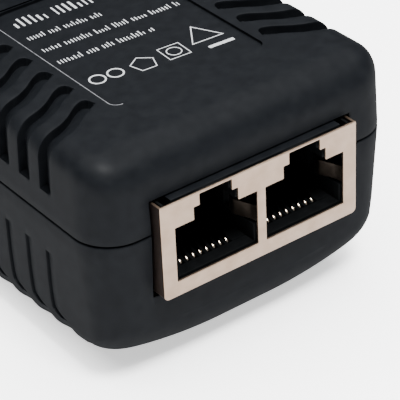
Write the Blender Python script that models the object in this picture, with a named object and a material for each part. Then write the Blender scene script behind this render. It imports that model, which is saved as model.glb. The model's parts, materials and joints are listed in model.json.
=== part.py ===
"""Wall-plug PoE injector: two grooved half shells, a shielded double jack and a small power supply.

The object lies on its crowned cover with the plug pins pointing up. The origin is the centre of
the bounding box's underside, +Y runs from the port face to the back, and +Z is up.
Sizes below are in millimetres. Lengths along Y are counted from the port face.
"""

import math

import bmesh
import bpy
from mathutils import Matrix, Vector

MM = 0.001
GAP = 0.3                    # clearance between neighbouring pieces

# Case
CASE_LENGTH = 86.0
CASE_HALF_WIDTH = 22.73      # at the seam
CASE_CORNER = 5.4            # plan radius of the vertical corners
CASE_TOP = 32.65
SEAM_Z = 21.85
SEAM_GAP = 0.3
WALL = 2.2
TONGUE = 1.0                 # height of the lower shell's inner tongue
TONGUE_INSET = 1.2
TOP_DRAFT = (0.26, 0.29)     # lean of the upper wall, front and side
TOP_ROUND = (4.8, 3.0)       # radius of the top edge, front and side
LOW_DRAFT = (0.8, 1.05)
LOW_ROUND = (5.0, 2.2)
LOW_CORNER_GROWTH = 1.5      # the vertical corners open out toward the underside
CROWN_FLAT = 4.0             # half width of the flat strip along the underside
CROWN_RADIUS = 54.0
END_RISE = 2.45              # the underside curves up toward both ends
END_RISE_LENGTH = 40.0
ARC_STEPS = 5
SIDE_STEPS = 9
EDGE_STEPS = 4
COLUMNS = 10

# Label recess and grip grooves
LABEL_HALF_WIDTH = 11.66
LABEL_FRONT = 13.2
LABEL_BACK = 42.5
LABEL_DEPTH = 0.45
LABEL_RADII = (1.3, 3.3)     # front and back corners
GROOVES = 8
GROOVE_PITCH = 4.55
GROOVE_INNER = (13.8, 17.2)  # back edge of the first groove at its inner end: X, Y
GROOVE_OUTER = (18.9, 14.0)
GROOVE_SIDE_Y = 13.75
GROOVE_END_Z = 25.6
GROOVE_WIDTH = 2.4
GROOVE_DEPTH = 1.15
RIB_Y = 14.3                 # first groove of the lower shell
RIB_TOP_Z = 16.3
RIB_WIDTH = 1.8
RIB_DEPTH = 0.4

# Double jack
JACK_WIDTH = 30.0
JACK_HEIGHT = 13.35
JACK_DEPTH = 16.0
JACK_BASE_Z = 12.8
JACK_PROUD = 1.4             # how far it stands out of the case
JACK_CORNER = 0.7
SHEET = 0.35
HOUSING_TOP_HALF = 12.9      # the insert's top is narrower than the face plate
HOUSING_SHOULDER = 11.9
HOUSING_TOP = 13.1
PORT_X = 6.8
PORT_HALF = 6.15
PORT_FLOOR = 2.1             # heights inside the jack are counted from its underside
PORT_SHOULDER = 9.75
STEP_HALF = 3.3
STEP_TOP = 11.5
NOTCH_HALF = 2.4
NOTCH_TOP = 13.05
HOUSING_NOTCH_TOP = 12.55
CAVITY_HALF = 5.95
CAVITY_DEPTH = 13.2
CAVITY_FLOOR = 1.2
LIP_DEPTH = 2.45
FINGER_LOW = 5.1
FINGER_HIGH = 7.3
FINGER_REACH = 5.0
FINGER_LEAN = 1.15
FINGER_ROOT_Y = 0.5
CONTACTS = 8
CONTACT_PITCH = 1.016
CONTACT_RADIUS = 0.23
CONTACT_PATH = ((2.95, 1.35), (3.0, 2.0), (4.3, 2.85), (12.2, 4.75))

# Wall plug
PLUG_Y = 62.0
STEM_SIZE = (35.3, 13.7)
STEM_HEIGHT = 17.5
PIN_SPACING = 19.0
PIN_LENGTH = 19.0
PIN_RADIUS = 2.0
SLEEVE_LENGTH = 10.0
SLEEVE_SINK = 1.0            # the sleeve starts this far below the stem's face
PIN_NECK = 1.4
FLANGE = (36.6, 17.5, 1.4)

# Board
BOARD_HALF_WIDTH = 18.8
BOARD_FRONT = 5.0
BOARD_BACK = 82.5
BOARD_THICK = 1.6
BOARD_TOP = JACK_BASE_Z - GAP
PART_Z = BOARD_TOP + GAP     # underside of the parts that stand on the board
PIN_ROOT_Z = PART_Z + 11.0

OVERALL_LENGTH = CASE_LENGTH + JACK_PROUD
FACE_Y = -OVERALL_LENGTH / 2
CASE_FRONT = JACK_PROUD
CASE_BACK = OVERALL_LENGTH
STEM_TOP = CASE_TOP + STEM_HEIGHT


def at(x, y, z):
    """A point in metres, from millimetres with Y counted from the port face."""
    return Vector((x, y + FACE_Y, z)) * MM


# ---------------------------------------------------------------- scene and materials

def clear_scene():
    for item in list(bpy.data.objects):
        bpy.data.objects.remove(item, do_unlink=True)


def material(name, color, roughness, metallic=0.0):
    mat = bpy.data.materials.get(name) or bpy.data.materials.new(name)
    mat.use_nodes = True
    shader = mat.node_tree.nodes["Principled BSDF"]
    shader.inputs["Base Color"].default_value = (*color, 1.0)
    shader.inputs["Roughness"].default_value = roughness
    shader.inputs["Metallic"].default_value = metallic
    return mat


def case_plastic():
    return material("case_plastic", (0.030, 0.032, 0.036), 0.45)


def jack_plastic():
    return material("jack_plastic", (0.012, 0.012, 0.013), 0.5)


def nickel():
    return material("nickel", (0.72, 0.68, 0.62), 0.35, 1.0)


def gold():
    return material("gold_contact", (0.9, 0.75, 0.45), 0.25, 1.0)


def steel():
    return material("steel", (0.6, 0.6, 0.58), 0.3, 1.0)


def copper():
    return material("copper_wire", (0.7, 0.35, 0.2), 0.35, 1.0)


def board_green():
    return material("board_green", (0.03, 0.16, 0.07), 0.5)


def ferrite():
    return material("ferrite", (0.05, 0.05, 0.055), 0.6)


def tape_yellow():
    return material("winding_tape", (0.8, 0.6, 0.08), 0.5)


def film_yellow():
    return material("film_box", (0.75, 0.6, 0.15), 0.4)


def sleeve_black():
    return material("capacitor_sleeve", (0.03, 0.03, 0.05), 0.35)


def ceramic_blue():
    return material("ceramic_blue", (0.05, 0.2, 0.5), 0.4)


def chip_black():
    return material("chip_black", (0.03, 0.03, 0.03), 0.5)


def aluminium():
    return material("aluminium", (0.7, 0.7, 0.72), 0.35, 1.0)


def lead_insulation():
    return material("lead_insulation", (0.45, 0.03, 0.03), 0.45)


# ---------------------------------------------------------------- mesh helpers

def finish_object(name, mesh_data, mat, smooth_angle=None, origin=None):
    """Turn a bmesh into a named object; the origin is a point in metres."""
    bmesh.ops.remove_doubles(mesh_data, verts=mesh_data.verts, dist=1e-7)
    bmesh.ops.recalc_face_normals(mesh_data, faces=mesh_data.faces)
    mesh = bpy.data.meshes.new(name)
    mesh_data.to_mesh(mesh)
    mesh_data.free()
    if origin is not None:
        mesh.transform(Matrix.Translation(-origin))
    if smooth_angle is not None:
        mesh.shade_smooth()
        mesh.set_sharp_from_angle(angle=math.radians(smooth_angle))
    mesh.materials.append(mat)
    obj = bpy.data.objects.new(name, mesh)
    if origin is not None:
        obj.location = origin
    bpy.context.scene.collection.objects.link(obj)
    return obj


def as_cutter(obj):
    obj.hide_render = True
    obj.display_type = "WIRE"
    return obj


def boolean(target, cutter, operation="DIFFERENCE"):
    """Apply the Boolean at once and drop the tool, so the object keeps a plain mesh."""
    modifier = target.modifiers.new("cut", "BOOLEAN")
    modifier.operation = operation
    modifier.object = cutter
    modifier.solver = "EXACT"
    graph = bpy.context.evaluated_depsgraph_get()
    graph.update()
    mesh = bpy.data.meshes.new_from_object(target.evaluated_get(graph))
    target.modifiers.clear()
    old = target.data
    target.data = mesh
    bpy.data.meshes.remove(old)
    bpy.data.objects.remove(cutter, do_unlink=True)


def add_loop(mesh_data, points):
    return [mesh_data.verts.new(point) for point in points]


def bridge(mesh_data, first, second):
    count = len(first)
    for i in range(count):
        j = (i + 1) % count
        mesh_data.faces.new((first[i], first[j], second[j], second[i]))


def loft(loops):
    """A closed body through a list of point loops, with flat ends."""
    mesh_data = bmesh.new()
    rings = [add_loop(mesh_data, points) for points in loops]
    for first, second in zip(rings, rings[1:]):
        bridge(mesh_data, first, second)
    mesh_data.faces.new(list(reversed(rings[0])))
    mesh_data.faces.new(rings[-1])
    return mesh_data


def box_mesh(low, high):
    corners = ((low[0], low[1]), (high[0], low[1]), (high[0], high[1]), (low[0], high[1]))
    return loft([[at(x, y, z) for x, y in corners] for z in (low[2], high[2])])


def box(name, low, high, mat):
    return finish_object(name, box_mesh(low, high), mat)


def box_cutter(low, high):
    return as_cutter(box("cutter", low, high, chip_black()))


def prism_mesh(outline, y_front, y_back):
    """An outline in X and Z, extruded along Y."""
    return loft([[at(x, y, z) for x, z in outline] for y in (y_front, y_back)])


def turned_mesh(profile, center, axis="Z", steps=16):
    """A profile of (radius, length along the axis) turned about an axis through center."""
    loops = []
    for radius, length in profile:
        loop = []
        for i in range(steps):
            angle = 2 * math.pi * i / steps
            side, rise = radius * math.cos(angle), radius * math.sin(angle)
            offset = {"Z": (side, rise, length), "X": (length, side, rise), "Y": (side, length, rise)}
            dx, dy, dz = offset[axis]
            loop.append(at(center[0] + dx, center[1] + dy, center[2] + dz))
        loops.append(loop)
    return loft(loops)


def ring_mesh(section, center, axis="Z", steps=20):
    """A closed section of (radius, height) points turned into a ring."""
    mesh_data = bmesh.new()
    turns = []
    for i in range(steps):
        angle = 2 * math.pi * i / steps
        points = []
        for radius, height in section:
            side, rise = radius * math.cos(angle), radius * math.sin(angle)
            offset = {"Z": (side, rise, height), "X": (height, side, rise)}[axis]
            points.append(at(*(c + o for c, o in zip(center, offset))))
        turns.append(add_loop(mesh_data, points))
    for i in range(steps):
        bridge(mesh_data, turns[i], turns[(i + 1) % steps])
    return mesh_data


def wire_mesh(path, radius, sides=6):
    """A round wire through a list of (x, y, z) points."""
    points = [at(*point) for point in path]
    loops = []
    for i, point in enumerate(points):
        ahead = points[min(i + 1, len(points) - 1)]
        behind = points[max(i - 1, 0)]
        frame = (ahead - behind).to_track_quat("Z", "X")
        loop = []
        for k in range(sides):
            angle = 2 * math.pi * (k + 0.5) / sides
            loop.append(point + frame @ Vector((math.cos(angle), math.sin(angle), 0)) * radius * MM)
        loops.append(loop)
    return loft(loops)


def rounded_outline(half_x, y_front, y_back, radii, steps):
    """A rectangle in X and Y with rounded front and back corners, front-left corner first."""
    front, back = radii
    corners = (
        (-half_x + front, y_front + front, front, 180),
        (half_x - front, y_front + front, front, 270),
        (half_x - back, y_back - back, back, 0),
        (-half_x + back, y_back - back, back, 90),
    )
    points = []
    for cx, cy, radius, start in corners:
        for i in range(steps + 1):
            angle = math.radians(start + 90 * i / steps)
            points.append((cx + radius * math.cos(angle), cy + radius * math.sin(angle)))
    return points


# ---------------------------------------------------------------- case

def crown(x, y):
    """Rise of the underside away from its lowest, flat patch."""
    end = min(y - CASE_FRONT, CASE_BACK - y)
    across = max(0.0, abs(x) - CROWN_FLAT) ** 2 / (2 * CROWN_RADIUS)
    return across + END_RISE * max(0.0, 1 - end / END_RISE_LENGTH) ** 2


def case_stations(corner=CASE_CORNER):
    """Plan outline at the seam as a loop of (x, y, normal x, normal y).

    The front and back edges hold COLUMNS spans, and each side holds one point a row, so that a
    cap can be filled as a grid.
    """
    straight = CASE_HALF_WIDTH - corner
    arc = []
    for i in range(ARC_STEPS + 1):
        angle = math.radians(90 * i / ARC_STEPS)
        x = straight + corner * math.sin(angle)
        y = CASE_FRONT + corner * (1 - math.cos(angle))
        arc.append((x, y, math.sin(angle), -math.cos(angle)))
    middle = CASE_FRONT + CASE_BACK
    side_start = CASE_FRONT + corner
    side_length = CASE_LENGTH - 2 * corner
    side = [(CASE_HALF_WIDTH, side_start + side_length * i / SIDE_STEPS, 1.0, 0.0)
            for i in range(1, SIDE_STEPS)]
    rows = arc + side + [(x, middle - y, nx, -ny) for x, y, nx, ny in reversed(arc)]
    columns = [straight * (2 * j / COLUMNS - 1) for j in range(COLUMNS + 1)]
    loop = [(x, CASE_FRONT, 0.0, -1.0) for x in columns]
    loop += rows[1:-1]
    loop += [(x, CASE_BACK, 0.0, 1.0) for x in reversed(columns)]
    loop += [(-x, y, -nx, ny) for x, y, nx, ny in reversed(rows[1:-1])]
    return loop, len(rows)


def blend(pair, nx):
    """Mix a (front, side) pair of sizes around the corner."""
    front, side = pair
    return front + (side - front) * nx * nx


def case_ring(inset, height, corner=CASE_CORNER):
    """A ring of the case; inset(nx) and height(nx, x, y) give each point's place."""
    loop, _ = case_stations(corner)
    points = []
    for x, y, nx, ny in loop:
        depth = inset(nx)
        px, py = x - nx * depth, y - ny * depth
        points.append(at(px, py, height(nx, px, py)))
    return points


def flat_ring(inset, z):
    return case_ring(lambda nx: inset, lambda nx, x, y: z)


def edge_rings(draft, rounding, height_of, corner_growth=0.0):
    """Rings round an edge, from the wall to the face; height_of turns a depth into a height."""
    rings = []
    for i in range(EDGE_STEPS + 1):
        angle = math.radians(90 * i / EDGE_STEPS)

        def inset(nx, turn=angle):
            return blend(draft, nx) + blend(rounding, nx) * (1 - math.cos(turn))

        def height(nx, x, y, turn=angle):
            return height_of(blend(rounding, nx) * (1 - math.sin(turn)), x, y)

        rings.append(case_ring(inset, height, CASE_CORNER + corner_growth * math.sin(angle)))
    return rings


def fill_cap(mesh_data, ring, height_of):
    """Fill a ring with a grid whose inner points follow height_of(x, y).

    Each corner's arc reaches past the grid, so the arc and its chord make one more face.
    """
    _, row_count = case_stations()
    last = row_count - 1
    back = 2 * COLUMNS + last
    rows = [[ring[j] for j in range(COLUMNS + 1)]]
    for i in range(ARC_STEPS, last - ARC_STEPS + 1):
        left, right = ring[-i], ring[COLUMNS + i]
        row = [left]
        for j in range(1, COLUMNS):
            x = left.co.x + (right.co.x - left.co.x) * j / COLUMNS
            y = left.co.y
            row.append(mesh_data.verts.new((x, y, height_of(x / MM, y / MM - FACE_Y) * MM)))
        rows.append(row + [right])
    rows.append([ring[back - j] for j in range(COLUMNS + 1)])
    for first, second in zip(rows, rows[1:]):
        for j in range(COLUMNS):
            mesh_data.faces.new((first[j], first[j + 1], second[j + 1], second[j]))
    closed = list(ring) + [ring[0]]
    for start in (COLUMNS, COLUMNS + last - ARC_STEPS, back, len(ring) - ARC_STEPS):
        mesh_data.faces.new(closed[start:start + ARC_STEPS + 1])


def shell_mesh(outer, inner, outer_cap, inner_cap):
    """A half shell: outer rings from cap to rim, inner rings from rim to cap."""
    mesh_data = bmesh.new()
    rings = [add_loop(mesh_data, points) for points in outer + inner]
    for first, second in zip(rings, rings[1:]):
        bridge(mesh_data, first, second)
    fill_cap(mesh_data, rings[0], outer_cap)
    fill_cap(mesh_data, rings[-1], inner_cap)
    return mesh_data


def inner_rings(draft, rounding, rim_z, height_of):
    """The inside of a half shell: below the rim, at the edge and at the face."""
    corner = 1.6

    def wall_inset(nx):
        return blend(draft, nx) + WALL

    def face_inset(nx):
        return blend(draft, nx) + WALL + corner

    return [
        flat_ring(WALL, rim_z),
        case_ring(wall_inset, lambda nx, x, y: height_of(blend(rounding, nx) + 0.6, x, y)),
        case_ring(face_inset, lambda nx, x, y: height_of(WALL, x, y)),
    ]


def groove_stations(first):
    """Back edge of an upper groove as (point, outward normal, direction to the front)."""
    inner_x, inner_y = GROOVE_INNER
    outer_x, outer_y = GROOVE_OUTER
    run = Vector((outer_x - inner_x, outer_y - inner_y, 0)).normalized()
    across = Vector((-run.y, run.x, 0)) * -1
    toward_front = Vector((0, -1, 0))
    side_x = CASE_HALF_WIDTH - TOP_DRAFT[1]
    radius = TOP_ROUND[1]
    up = Vector((0, 0, 1))
    out = Vector((1, 0, 0))
    stations = [
        (Vector((inner_x, inner_y, CASE_TOP)), up, across),
        (Vector((outer_x, outer_y, CASE_TOP)), up, across),
    ]
    for degrees in (30, 60):
        angle = math.radians(degrees)
        normal = (up * math.cos(angle) + out * math.sin(angle)).normalized()
        x = side_x - radius + radius * math.sin(angle)
        z = CASE_TOP - radius + radius * math.cos(angle)
        stations.append((Vector((x, GROOVE_SIDE_Y, z)), normal, (across + toward_front).normalized()))
    stations.append((Vector((side_x, GROOVE_SIDE_Y, CASE_TOP - radius)), out, toward_front))
    stations.append((Vector((side_x + 0.2, GROOVE_SIDE_Y, GROOVE_END_Z)), out, toward_front))
    return [(point + Vector((0, first, 0)), normal, front) for point, normal, front in stations]


def rib_stations(first):
    """Back edge of a lower groove, down the side and round the bottom edge."""
    side_x = CASE_HALF_WIDTH - LOW_DRAFT[1]
    radius = LOW_ROUND[1]
    toward_front = Vector((0, -1, 0))
    out = Vector((1, 0, 0))
    down = Vector((0, 0, -1))
    stations = [(Vector((side_x + 0.35, RIB_Y, RIB_TOP_Z)), out, toward_front)]
    base = crown(side_x - radius, first + RIB_Y)
    for degrees in (0, 30, 60, 85):
        angle = math.radians(degrees)
        normal = out * math.cos(angle) + down * math.sin(angle)
        x = side_x - radius + radius * math.cos(angle)
        z = base + radius - radius * math.sin(angle)
        stations.append((Vector((x, RIB_Y, z)), normal, toward_front))
    return [(point + Vector((0, first, 0)), normal, front) for point, normal, front in stations]


def ramp_cutter(stations, width, depth, side):
    """A wedge along the stations: full depth at the back edge, nothing at its front edge."""
    proud = 1.2
    loops = []
    for point, normal, front in stations:
        corners = (
            point - normal * depth,
            point + front * width,
            point + front * width + normal * proud,
            point + normal * proud,
        )
        loops.append([at(side * c.x, c.y, c.z) for c in corners])
    return as_cutter(finish_object("cutter", loft(loops), chip_black()))


def cut_grooves(obj, stations_of, width, depth):
    for index in range(GROOVES):
        for side in (-1, 1):
            boolean(obj, ramp_cutter(stations_of(index * GROOVE_PITCH), width, depth, side))


def jack_window():
    half = JACK_WIDTH / 2 + GAP
    low = (-half, CASE_FRONT - 2.0, JACK_BASE_Z - GAP)
    high = (half, CASE_FRONT + 6.0, JACK_BASE_Z + JACK_HEIGHT + GAP)
    return box_cutter(low, high)


def label_cutter():
    outline = rounded_outline(LABEL_HALF_WIDTH, LABEL_FRONT, LABEL_BACK, LABEL_RADII, 4)
    heights = (CASE_TOP - LABEL_DEPTH, CASE_TOP + 1.0)
    loops = [[at(x, y, z) for x, y in outline] for z in heights]
    return as_cutter(finish_object("cutter", loft(loops), chip_black()))


def stem_outline(extra=0.0):
    """The plug's flattened hexagon, grown by extra on every side."""
    half_x = STEM_SIZE[0] / 2 + extra
    half_y = STEM_SIZE[1] / 2 + extra
    shoulder = half_x - 6.9
    tip = 3.0
    right = [(shoulder, -half_y), (half_x - 1.2, -tip), (half_x, -tip + 1.6)]
    right += [(x, -y) for x, y in reversed(right)]
    left = [(-x, -y) for x, y in right]
    return [(x, y + PLUG_Y) for x, y in right + left]


def stem_loops(levels):
    return [[at(x, y, z) for x, y in stem_outline(extra)] for extra, z in levels]


def make_upper_case():
    seam = SEAM_Z + SEAM_GAP / 2
    rebate = SEAM_Z + TONGUE + GAP

    def height_of(depth, x, y):
        return CASE_TOP - depth

    outer = list(reversed(edge_rings(TOP_DRAFT, TOP_ROUND, height_of)))
    outer.append(flat_ring(0.0, seam))
    outer.append(flat_ring(TONGUE_INSET - GAP, seam))
    outer.append(flat_ring(TONGUE_INSET - GAP, rebate))
    inner = inner_rings(TOP_DRAFT, TOP_ROUND, rebate, height_of)
    mesh_data = shell_mesh(outer, inner, lambda x, y: CASE_TOP, lambda x, y: CASE_TOP - WALL)
    case = finish_object("upper_case", mesh_data, case_plastic(), 35)
    boolean(case, jack_window())
    boolean(case, label_cutter())
    opening = loft(stem_loops(((GAP, CASE_TOP - WALL - 1.0), (GAP, CASE_TOP + 1.0))))
    boolean(case, as_cutter(finish_object("cutter", opening, chip_black())))
    cut_grooves(case, groove_stations, GROOVE_WIDTH, GROOVE_DEPTH)
    return case


def make_lower_case():
    seam = SEAM_Z - SEAM_GAP / 2
    tongue = SEAM_Z + TONGUE

    def height_of(depth, x, y):
        return crown(x, y) + depth

    outer = list(reversed(edge_rings(LOW_DRAFT, LOW_ROUND, height_of, LOW_CORNER_GROWTH)))
    outer.append(flat_ring(0.0, seam))
    outer.append(flat_ring(TONGUE_INSET, seam))
    outer.append(flat_ring(TONGUE_INSET, tongue))
    inner = inner_rings(LOW_DRAFT, LOW_ROUND, tongue, height_of)
    mesh_data = shell_mesh(outer, inner, crown, lambda x, y: crown(x, y) + WALL)
    case = finish_object("lower_case", mesh_data, case_plastic(), 35)
    boolean(case, jack_window())
    cut_grooves(case, rib_stations, RIB_WIDTH, RIB_DEPTH)
    for x in (-15.5, 15.5):
        for y in (24.0, 76.0):
            post = box("post", (x - 1.2, y - 3, WALL), (x + 1.2, y + 3, BOARD_TOP - BOARD_THICK - GAP),
                       case_plastic())
            boolean(case, post, "UNION")
    return case


# ---------------------------------------------------------------- double jack

def jack_outline():
    """Face of the shield in X and Z, with rounded lower corners."""
    half = JACK_WIDTH / 2
    top = JACK_BASE_Z + JACK_HEIGHT
    points = []
    for center, start in ((-half + JACK_CORNER, 180), (half - JACK_CORNER, 270)):
        for i in range(4):
            angle = math.radians(start + 30 * i)
            x = center + JACK_CORNER * math.cos(angle)
            points.append((x, JACK_BASE_Z + JACK_CORNER * (1 + math.sin(angle))))
    return points + [(half, top), (-half, top)]


def port_outline(center, half, floor, notch_top=NOTCH_TOP):
    """The stepped opening of one port in X and Z."""
    steps = ((half, PORT_SHOULDER), (STEP_HALF, STEP_TOP), (NOTCH_HALF, notch_top))
    right = [(half, floor)]
    for index, (width, height) in enumerate(steps):
        right.append((width, height))
        if index + 1 < len(steps):
            right.append((steps[index + 1][0], height))
    points = right + [(-x, z) for x, z in reversed(right)]
    return [(center + x, JACK_BASE_Z + z) for x, z in points]


def make_jack_shield():
    """A face plate with folded sides and back; the insert shows at its open top."""
    shield = finish_object("jack_shield", prism_mesh(jack_outline(), 0.0, JACK_DEPTH), nickel())
    half = JACK_WIDTH / 2 - SHEET
    low, high = JACK_BASE_Z - 1, JACK_BASE_Z + JACK_HEIGHT + 1
    boolean(shield, box_cutter((-half, SHEET, low), (half, JACK_DEPTH - SHEET, high)))
    for center in (-PORT_X, PORT_X):
        outline = port_outline(center, PORT_HALF, PORT_FLOOR)
        cutter = finish_object("cutter", prism_mesh(outline, -1.0, SHEET + 0.2), chip_black())
        boolean(shield, as_cutter(cutter))
    return shield


def make_jack_housing():
    half = JACK_WIDTH / 2 - SHEET - GAP
    base, shoulder, top = (JACK_BASE_Z + z for z in (GAP, HOUSING_SHOULDER, HOUSING_TOP))
    right = [(half, base), (half, shoulder), (HOUSING_TOP_HALF, shoulder), (HOUSING_TOP_HALF, top)]
    section = right + [(-x, z) for x, z in reversed(right)]
    mesh_data = prism_mesh(section, SHEET + GAP, JACK_DEPTH - SHEET - GAP)
    housing = finish_object("jack_housing", mesh_data, jack_plastic())
    for center in (-PORT_X, PORT_X):
        outline = port_outline(center, CAVITY_HALF, PORT_FLOOR + 0.15, HOUSING_NOTCH_TOP)
        cavity = finish_object("cutter", prism_mesh(outline, -1.0, CAVITY_DEPTH), chip_black())
        boolean(housing, as_cutter(cavity))
        contact_well(housing, center)
    finger_pockets(housing)
    return housing


def contact_well(housing, center):
    """The deeper floor behind the lip, where the contact wires bend and travel."""
    half = CONTACT_PITCH * (CONTACTS - 1) / 2 + 0.6
    low = (center - half, LIP_DEPTH, JACK_BASE_Z + CAVITY_FLOOR - 0.2)
    high = (center + half, CAVITY_DEPTH - 0.05, JACK_BASE_Z + PORT_FLOOR + 1.0)
    boolean(housing, box_cutter(low, high))


def finger_pockets(housing):
    """Room beside each port for its ground fingers; the middle wall is open right through."""
    low_z = JACK_BASE_Z + FINGER_LOW - 0.4
    high_z = JACK_BASE_Z + PORT_SHOULDER - 0.2
    outer = PORT_X + CAVITY_HALF
    spans = ((-outer - 1.1, -outer + 0.5), (outer - 0.5, outer + 1.1), (-1.4, 1.4))
    for x_low, x_high in spans:
        boolean(housing, box_cutter((x_low, -1.0, low_z), (x_high, FINGER_REACH + 1.6, high_z)))


def make_ground_finger(name, edge_x, inward):
    """A spring tab that folds in from the port's edge; inward is the X direction into the port."""
    thick = 0.25
    root = edge_x - inward * 0.05
    bend = FINGER_REACH - 1.1
    plan = (
        (root, FINGER_ROOT_Y),
        (root + inward * FINGER_LEAN, bend),
        (root + inward * (FINGER_LEAN - 0.25), FINGER_REACH + 0.1),
    )
    outer = [(x - inward * thick, y) for x, y in plan]
    outline = list(plan) + list(reversed(outer))
    heights = (JACK_BASE_Z + FINGER_LOW, JACK_BASE_Z + FINGER_HIGH)
    loops = [[at(x, y, z) for x, y in outline] for z in heights]
    origin = at(edge_x - inward * 0.15, FINGER_ROOT_Y, sum(heights) / 2)
    return finish_object(name, loft(loops), nickel(), origin=origin)


def make_contact(name, x):
    y, z = CONTACT_PATH[1]
    path = [(x, along, JACK_BASE_Z + height) for along, height in CONTACT_PATH]
    origin = at(x, y, JACK_BASE_Z + z)
    return finish_object(name, wire_mesh(path, CONTACT_RADIUS), gold(), 40, origin)


def make_contacts():
    for label, center in (("left", -PORT_X), ("right", PORT_X)):
        for index in range(CONTACTS):
            x = center + (index - (CONTACTS - 1) / 2) * CONTACT_PITCH
            make_contact(f"{label}_contact_{index + 1}", x)


def make_ground_fingers():
    for label, center in (("left", -PORT_X), ("right", PORT_X)):
        make_ground_finger(f"{label}_port_finger_1", center - PORT_HALF, 1)
        make_ground_finger(f"{label}_port_finger_2", center + PORT_HALF, -1)


# ---------------------------------------------------------------- wall plug

def make_plug_stem():
    """Pin carrier: a flange under the case top and a stem with a softened end."""
    flange_top = CASE_TOP - WALL - GAP
    stem = finish_object(
        "plug_stem",
        loft(stem_loops(((0.0, flange_top - FLANGE[2]), (0.0, STEM_TOP - 0.8), (-0.8, STEM_TOP)))),
        case_plastic(),
    )
    half_x, half_y = FLANGE[0] / 2, FLANGE[1] / 2
    flange = box("flange", (-half_x, PLUG_Y - half_y, flange_top - FLANGE[2]),
                 (half_x, PLUG_Y + half_y, flange_top), case_plastic())
    boolean(stem, flange, "UNION")
    for x in (-PIN_SPACING / 2, PIN_SPACING / 2):
        step = STEM_TOP - SLEEVE_SINK - GAP
        profile = ((PIN_NECK + GAP, flange_top - 5), (PIN_NECK + GAP, step),
                   (PIN_RADIUS + GAP, step), (PIN_RADIUS + GAP, STEM_TOP + 5))
        bore = turned_mesh(profile, (x, PLUG_Y, 0.0))
        boolean(stem, as_cutter(finish_object("cutter", bore, chip_black())))
    pocket = ((-6.0, PLUG_Y - 4.5, flange_top - 5), (6.0, PLUG_Y + 4.5, STEM_TOP - 2.2))
    boolean(stem, box_cutter(*pocket))
    return stem


def make_plug_pin(name, x):
    sleeve_top = STEM_TOP + GAP + SLEEVE_LENGTH
    tip = STEM_TOP + PIN_LENGTH
    profile = (
        (PIN_NECK, PIN_ROOT_Z),
        (PIN_NECK, sleeve_top + GAP),
        (PIN_RADIUS, sleeve_top + GAP),
        (PIN_RADIUS, tip - 1.4),
        (PIN_RADIUS * 0.87, tip - 0.6),
        (PIN_RADIUS * 0.55, tip - 0.12),
        (PIN_RADIUS * 0.25, tip),
    )
    return finish_object(name, turned_mesh(profile, (x, PLUG_Y, 0.0), steps=20), steel(), 40)


def make_pin_sleeve(name, x):
    inner = PIN_NECK + 0.25
    low = STEM_TOP - SLEEVE_SINK
    high = STEM_TOP + GAP + SLEEVE_LENGTH
    section = ((inner, low), (PIN_RADIUS, low), (PIN_RADIUS, high), (inner, high))
    return finish_object(name, ring_mesh(section, (x, PLUG_Y, 0.0)), jack_plastic(), 40)


def make_ac_lead(name, x):
    path = (
        (x, PLUG_Y, PIN_ROOT_Z - GAP),
        (x, PLUG_Y, PIN_ROOT_Z - 3.0),
        (x * 1.12, PLUG_Y + 1.5, PIN_ROOT_Z - 6.5),
        (x * 1.12, PLUG_Y + 1.5, PART_Z),
    )
    return finish_object(name, wire_mesh(path, 0.8, 8), lead_insulation(), 40)


def make_wall_plug():
    make_plug_stem()
    for label, side in (("left", -1), ("right", 1)):
        x = side * PIN_SPACING / 2
        make_plug_pin(f"plug_pin_{label}", x)
        make_pin_sleeve(f"pin_sleeve_{label}", x)
        make_ac_lead(f"ac_lead_{label}", x)


# ---------------------------------------------------------------- power supply

def make_board():
    low = (-BOARD_HALF_WIDTH, BOARD_FRONT, BOARD_TOP - BOARD_THICK)
    high = (BOARD_HALF_WIDTH, BOARD_BACK, BOARD_TOP)
    return box("circuit_board", low, high, board_green())


def make_transformer(x, y):
    """An E core pair round a taped winding, on a bobbin base."""
    core_low = PART_Z + 2.8
    core_high = core_low + 13.4
    base = ((x - 9.0, y - 8.5, PART_Z), (x + 9.0, y + 8.5, core_low - GAP))
    box("transformer_bobbin", *base, chip_black())
    core = box("transformer_core", (x - 9.5, y - 2.5, core_low), (x + 9.5, y + 2.5, core_high), ferrite())
    for side in (-1, 1):
        x_low, x_high = sorted((x + side * 2.5, x + side * 7.0))
        window = ((x_low, y - 5, core_low + 2.5), (x_high, y + 5, core_high - 2.5))
        boolean(core, box_cutter(*window))
    winding = box("transformer_winding", (x - 6.6, y - 6.6, core_low + 2.8),
                  (x + 6.6, y + 6.6, core_high - 2.8), tape_yellow())
    boolean(winding, box_cutter((x - 2.8, y - 2.8, core_low), (x + 2.8, y + 2.8, core_high)))


def make_can(name, x, y, radius, height, mat):
    """An upright electrolytic can with its crimped neck."""
    profile = (
        (radius, 0.0), (radius, 1.2), (radius - 0.5, 1.7), (radius, 2.2),
        (radius, height - 0.5), (radius - 0.5, height),
    )
    return finish_object(name, turned_mesh(profile, (x, y, PART_Z)), mat, 40)


def make_lying_can(name, center, radius, length, mat):
    half = length / 2
    profile = (
        (radius - 0.5, -half), (radius, -half + 0.5), (radius, half - 2.6),
        (radius - 0.5, half - 2.0), (radius, half - 1.4), (radius - 0.5, half),
    )
    return finish_object(name, turned_mesh(profile, center, "X"), mat, 40)


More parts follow.
